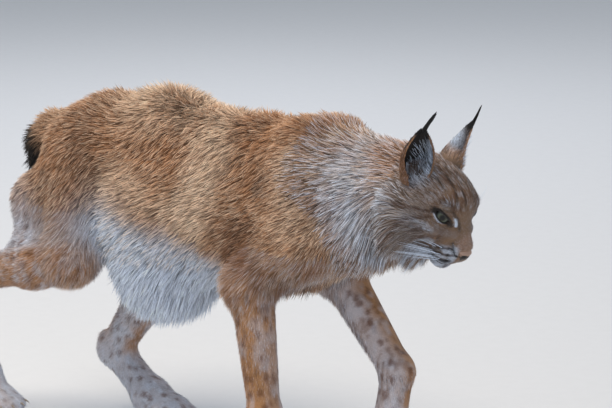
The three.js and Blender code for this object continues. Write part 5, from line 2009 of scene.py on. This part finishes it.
class LYNX_OT_coat(bpy.types.Operator):
    """Spreads the tufts of the coat over the skin, region by region"""

    bl_idname = "lynx.coat"
    bl_label = "Coat"

    def execute(self, context):
        if "surface" not in STATE:
            raise RuntimeError("The coat grows on the skin, so the skin comes first")
        s = STATE["surface"]
        length, width, lift, density, hang = coat_shape(s.points, s.share)
        names = list(s.share)
        table = np.stack([s.share[n] for n in names], axis=1)
        per_triangle = density[s.triangles].mean(axis=1) * fullness()
        middle_share = dict(zip(names, table[s.triangles].mean(axis=1).T))
        region = region_of(s.middle, middle_share)
        for number, tag in enumerate(COAT_REGIONS):
            tri, part = s.scatter(per_triangle * (region == number), 100 + number)
            root = s.read(s.points, tri, part)
            out = unit(s.read(s.normals, tri, part))
            h = on_head(root)
            # No hair grows on the nose pad, under the paws and in the opening of the lids.
            bare = near_nose(h) | (root[:, 2] < 2.5)
            for side in (-1, 1):
                bare |= (in_opening(h, side) < 1.22) & (np.linalg.norm(h - eye_place(side), axis=1) < 22)
            keep = ~bare
            tri, part, root, out = tri[keep], part[keep], root[keep], out[keep]
            here = dict(zip(names, s.read(table, tri, part).T))
            made = tufts(
                "coat_" + tag, root, out, s.read(s.flow, tri, part), s.read(length, tri, part),
                s.read(width, tri, part), s.read(lift, tri, part), markings(root, here),
                s.read_uv(tri, part), materials()["coat"], drop=s.read(hang, tri, part), **COAT_MAKE[tag],
            )
            count = len(made.data.polygons)
            if count > PIECE_LIMIT:
                raise RuntimeError(f"coat_{tag} has too many triangles: {count}")
        return {"FINISHED"}


class LYNX_OT_stage(bpy.types.Operator):
    """Sets the floor, the soft lights and the camera"""

    bl_idname = "lynx.stage"
    bl_label = "Studio"

    def execute(self, context):
        bpy.ops.object.select_all(action="DESELECT")
        bpy.ops.mesh.primitive_plane_add(size=60.0, location=(0, 0, 0))
        floor = bpy.context.object
        floor.name = "floor"
        # Matt painted board: an even pale ground, with grain 25 mm wide that is only just seen.
        material, tree, shader = new_material("Matt painted board")
        place = add_node(tree, "ShaderNodeTexCoord")
        grain = add_node(
            tree, "ShaderNodeTexNoise", {"Scale": 1000.0 / 25.0}, [("Vector", place.outputs["Object"])],
        )
        tone = add_node(
            tree, "ShaderNodeMapRange", {"To Min": 0.70, "To Max": 0.73}, [("Value", grain.outputs["Fac"])],
        )
        tree.links.new(shader.inputs["Base Color"], tone.outputs["Result"])
        shader.inputs["Roughness"].default_value = 0.8
        floor.data.materials.append(material)

        target = Vector(to_row(CAMERA_TARGET))
        turn_by, rise = math.radians(CAMERA_TURN), math.radians(CAMERA_RISE)
        level = math.cos(rise)
        away = Vector((math.sin(turn_by) * level, -math.cos(turn_by) * level, math.sin(rise)))
        data = bpy.data.cameras.new("camera")
        camera = bpy.data.objects.new("camera", data)
        context.scene.collection.objects.link(camera)
        camera.location = target + away * CAMERA_FAR
        camera.rotation_euler = (-away).to_track_quat("-Z", "Y").to_euler()
        data.sensor_fit = "HORIZONTAL"
        data.sensor_width = SENSOR_WIDTH
        data.lens = FOCAL_PIXELS / PICTURE_WIDTH * SENSOR_WIDTH
        data.clip_end = 100.0
        context.scene.camera = camera

        for name, spot, size, power, tint in LAMPS:
            light = bpy.data.lights.new(name, "AREA")
            light.shape = "DISK"
            light.size = size
            light.energy = power
            light.color = linear(tint)
            lamp = bpy.data.objects.new(name, light)
            context.scene.collection.objects.link(lamp)
            lamp.location = spot
            lamp.rotation_euler = (Vector(LAMPS_AIM) - Vector(spot)).to_track_quat("-Z", "Y").to_euler()
        world = bpy.data.worlds.new("studio")
        context.scene.world = world
        world.use_nodes = True
        sky = world.node_tree.nodes["Background"]
        sky.inputs["Color"].default_value = (*linear("#cfd8e4"), 1.0)
        sky.inputs["Strength"].default_value = 0.70
        context.scene.view_settings.view_transform = "Standard"
        return {"FINISHED"}


class LYNX_PT_panel(bpy.types.Panel):
    """The lynx in the sidebar of the 3D view"""

    bl_label = "Lynx"
    bl_idname = "LYNX_PT_panel"
    bl_space_type = "VIEW_3D"
    bl_region_type = "UI"
    bl_category = "Lynx"

    def draw(self, context):
        layout = self.layout
        for group in (context.scene.lynx_coat, context.scene.lynx_colours):
            box = layout.box()
            for key in group.__annotations__:
                box.prop(group, key)
        for operator in OPERATORS:
            layout.operator(operator.bl_idname)


OPERATORS = (
    LYNX_OT_skin, LYNX_OT_eyes, LYNX_OT_muzzle, LYNX_OT_ears, LYNX_OT_claws, LYNX_OT_coat, LYNX_OT_stage,
)
CLASSES = (LynxCoat, LynxColours, *OPERATORS, LYNX_PT_panel)


def register():
    for cls in CLASSES:
        bpy.utils.register_class(cls)
    bpy.types.Scene.lynx_coat = bpy.props.PointerProperty(type=LynxCoat)
    bpy.types.Scene.lynx_colours = bpy.props.PointerProperty(type=LynxColours)


def unregister():
    del bpy.types.Scene.lynx_colours
    del bpy.types.Scene.lynx_coat
    for cls in reversed(CLASSES):
        bpy.utils.unregister_class(cls)


def main():
    register()
    bpy.ops.lynx.stage()
    bpy.ops.lynx.skin()
    bpy.ops.lynx.eyes()
    bpy.ops.lynx.muzzle()
    bpy.ops.lynx.ears()
    bpy.ops.lynx.claws()
    bpy.ops.lynx.coat()


if __name__ == "__main__":
    main()
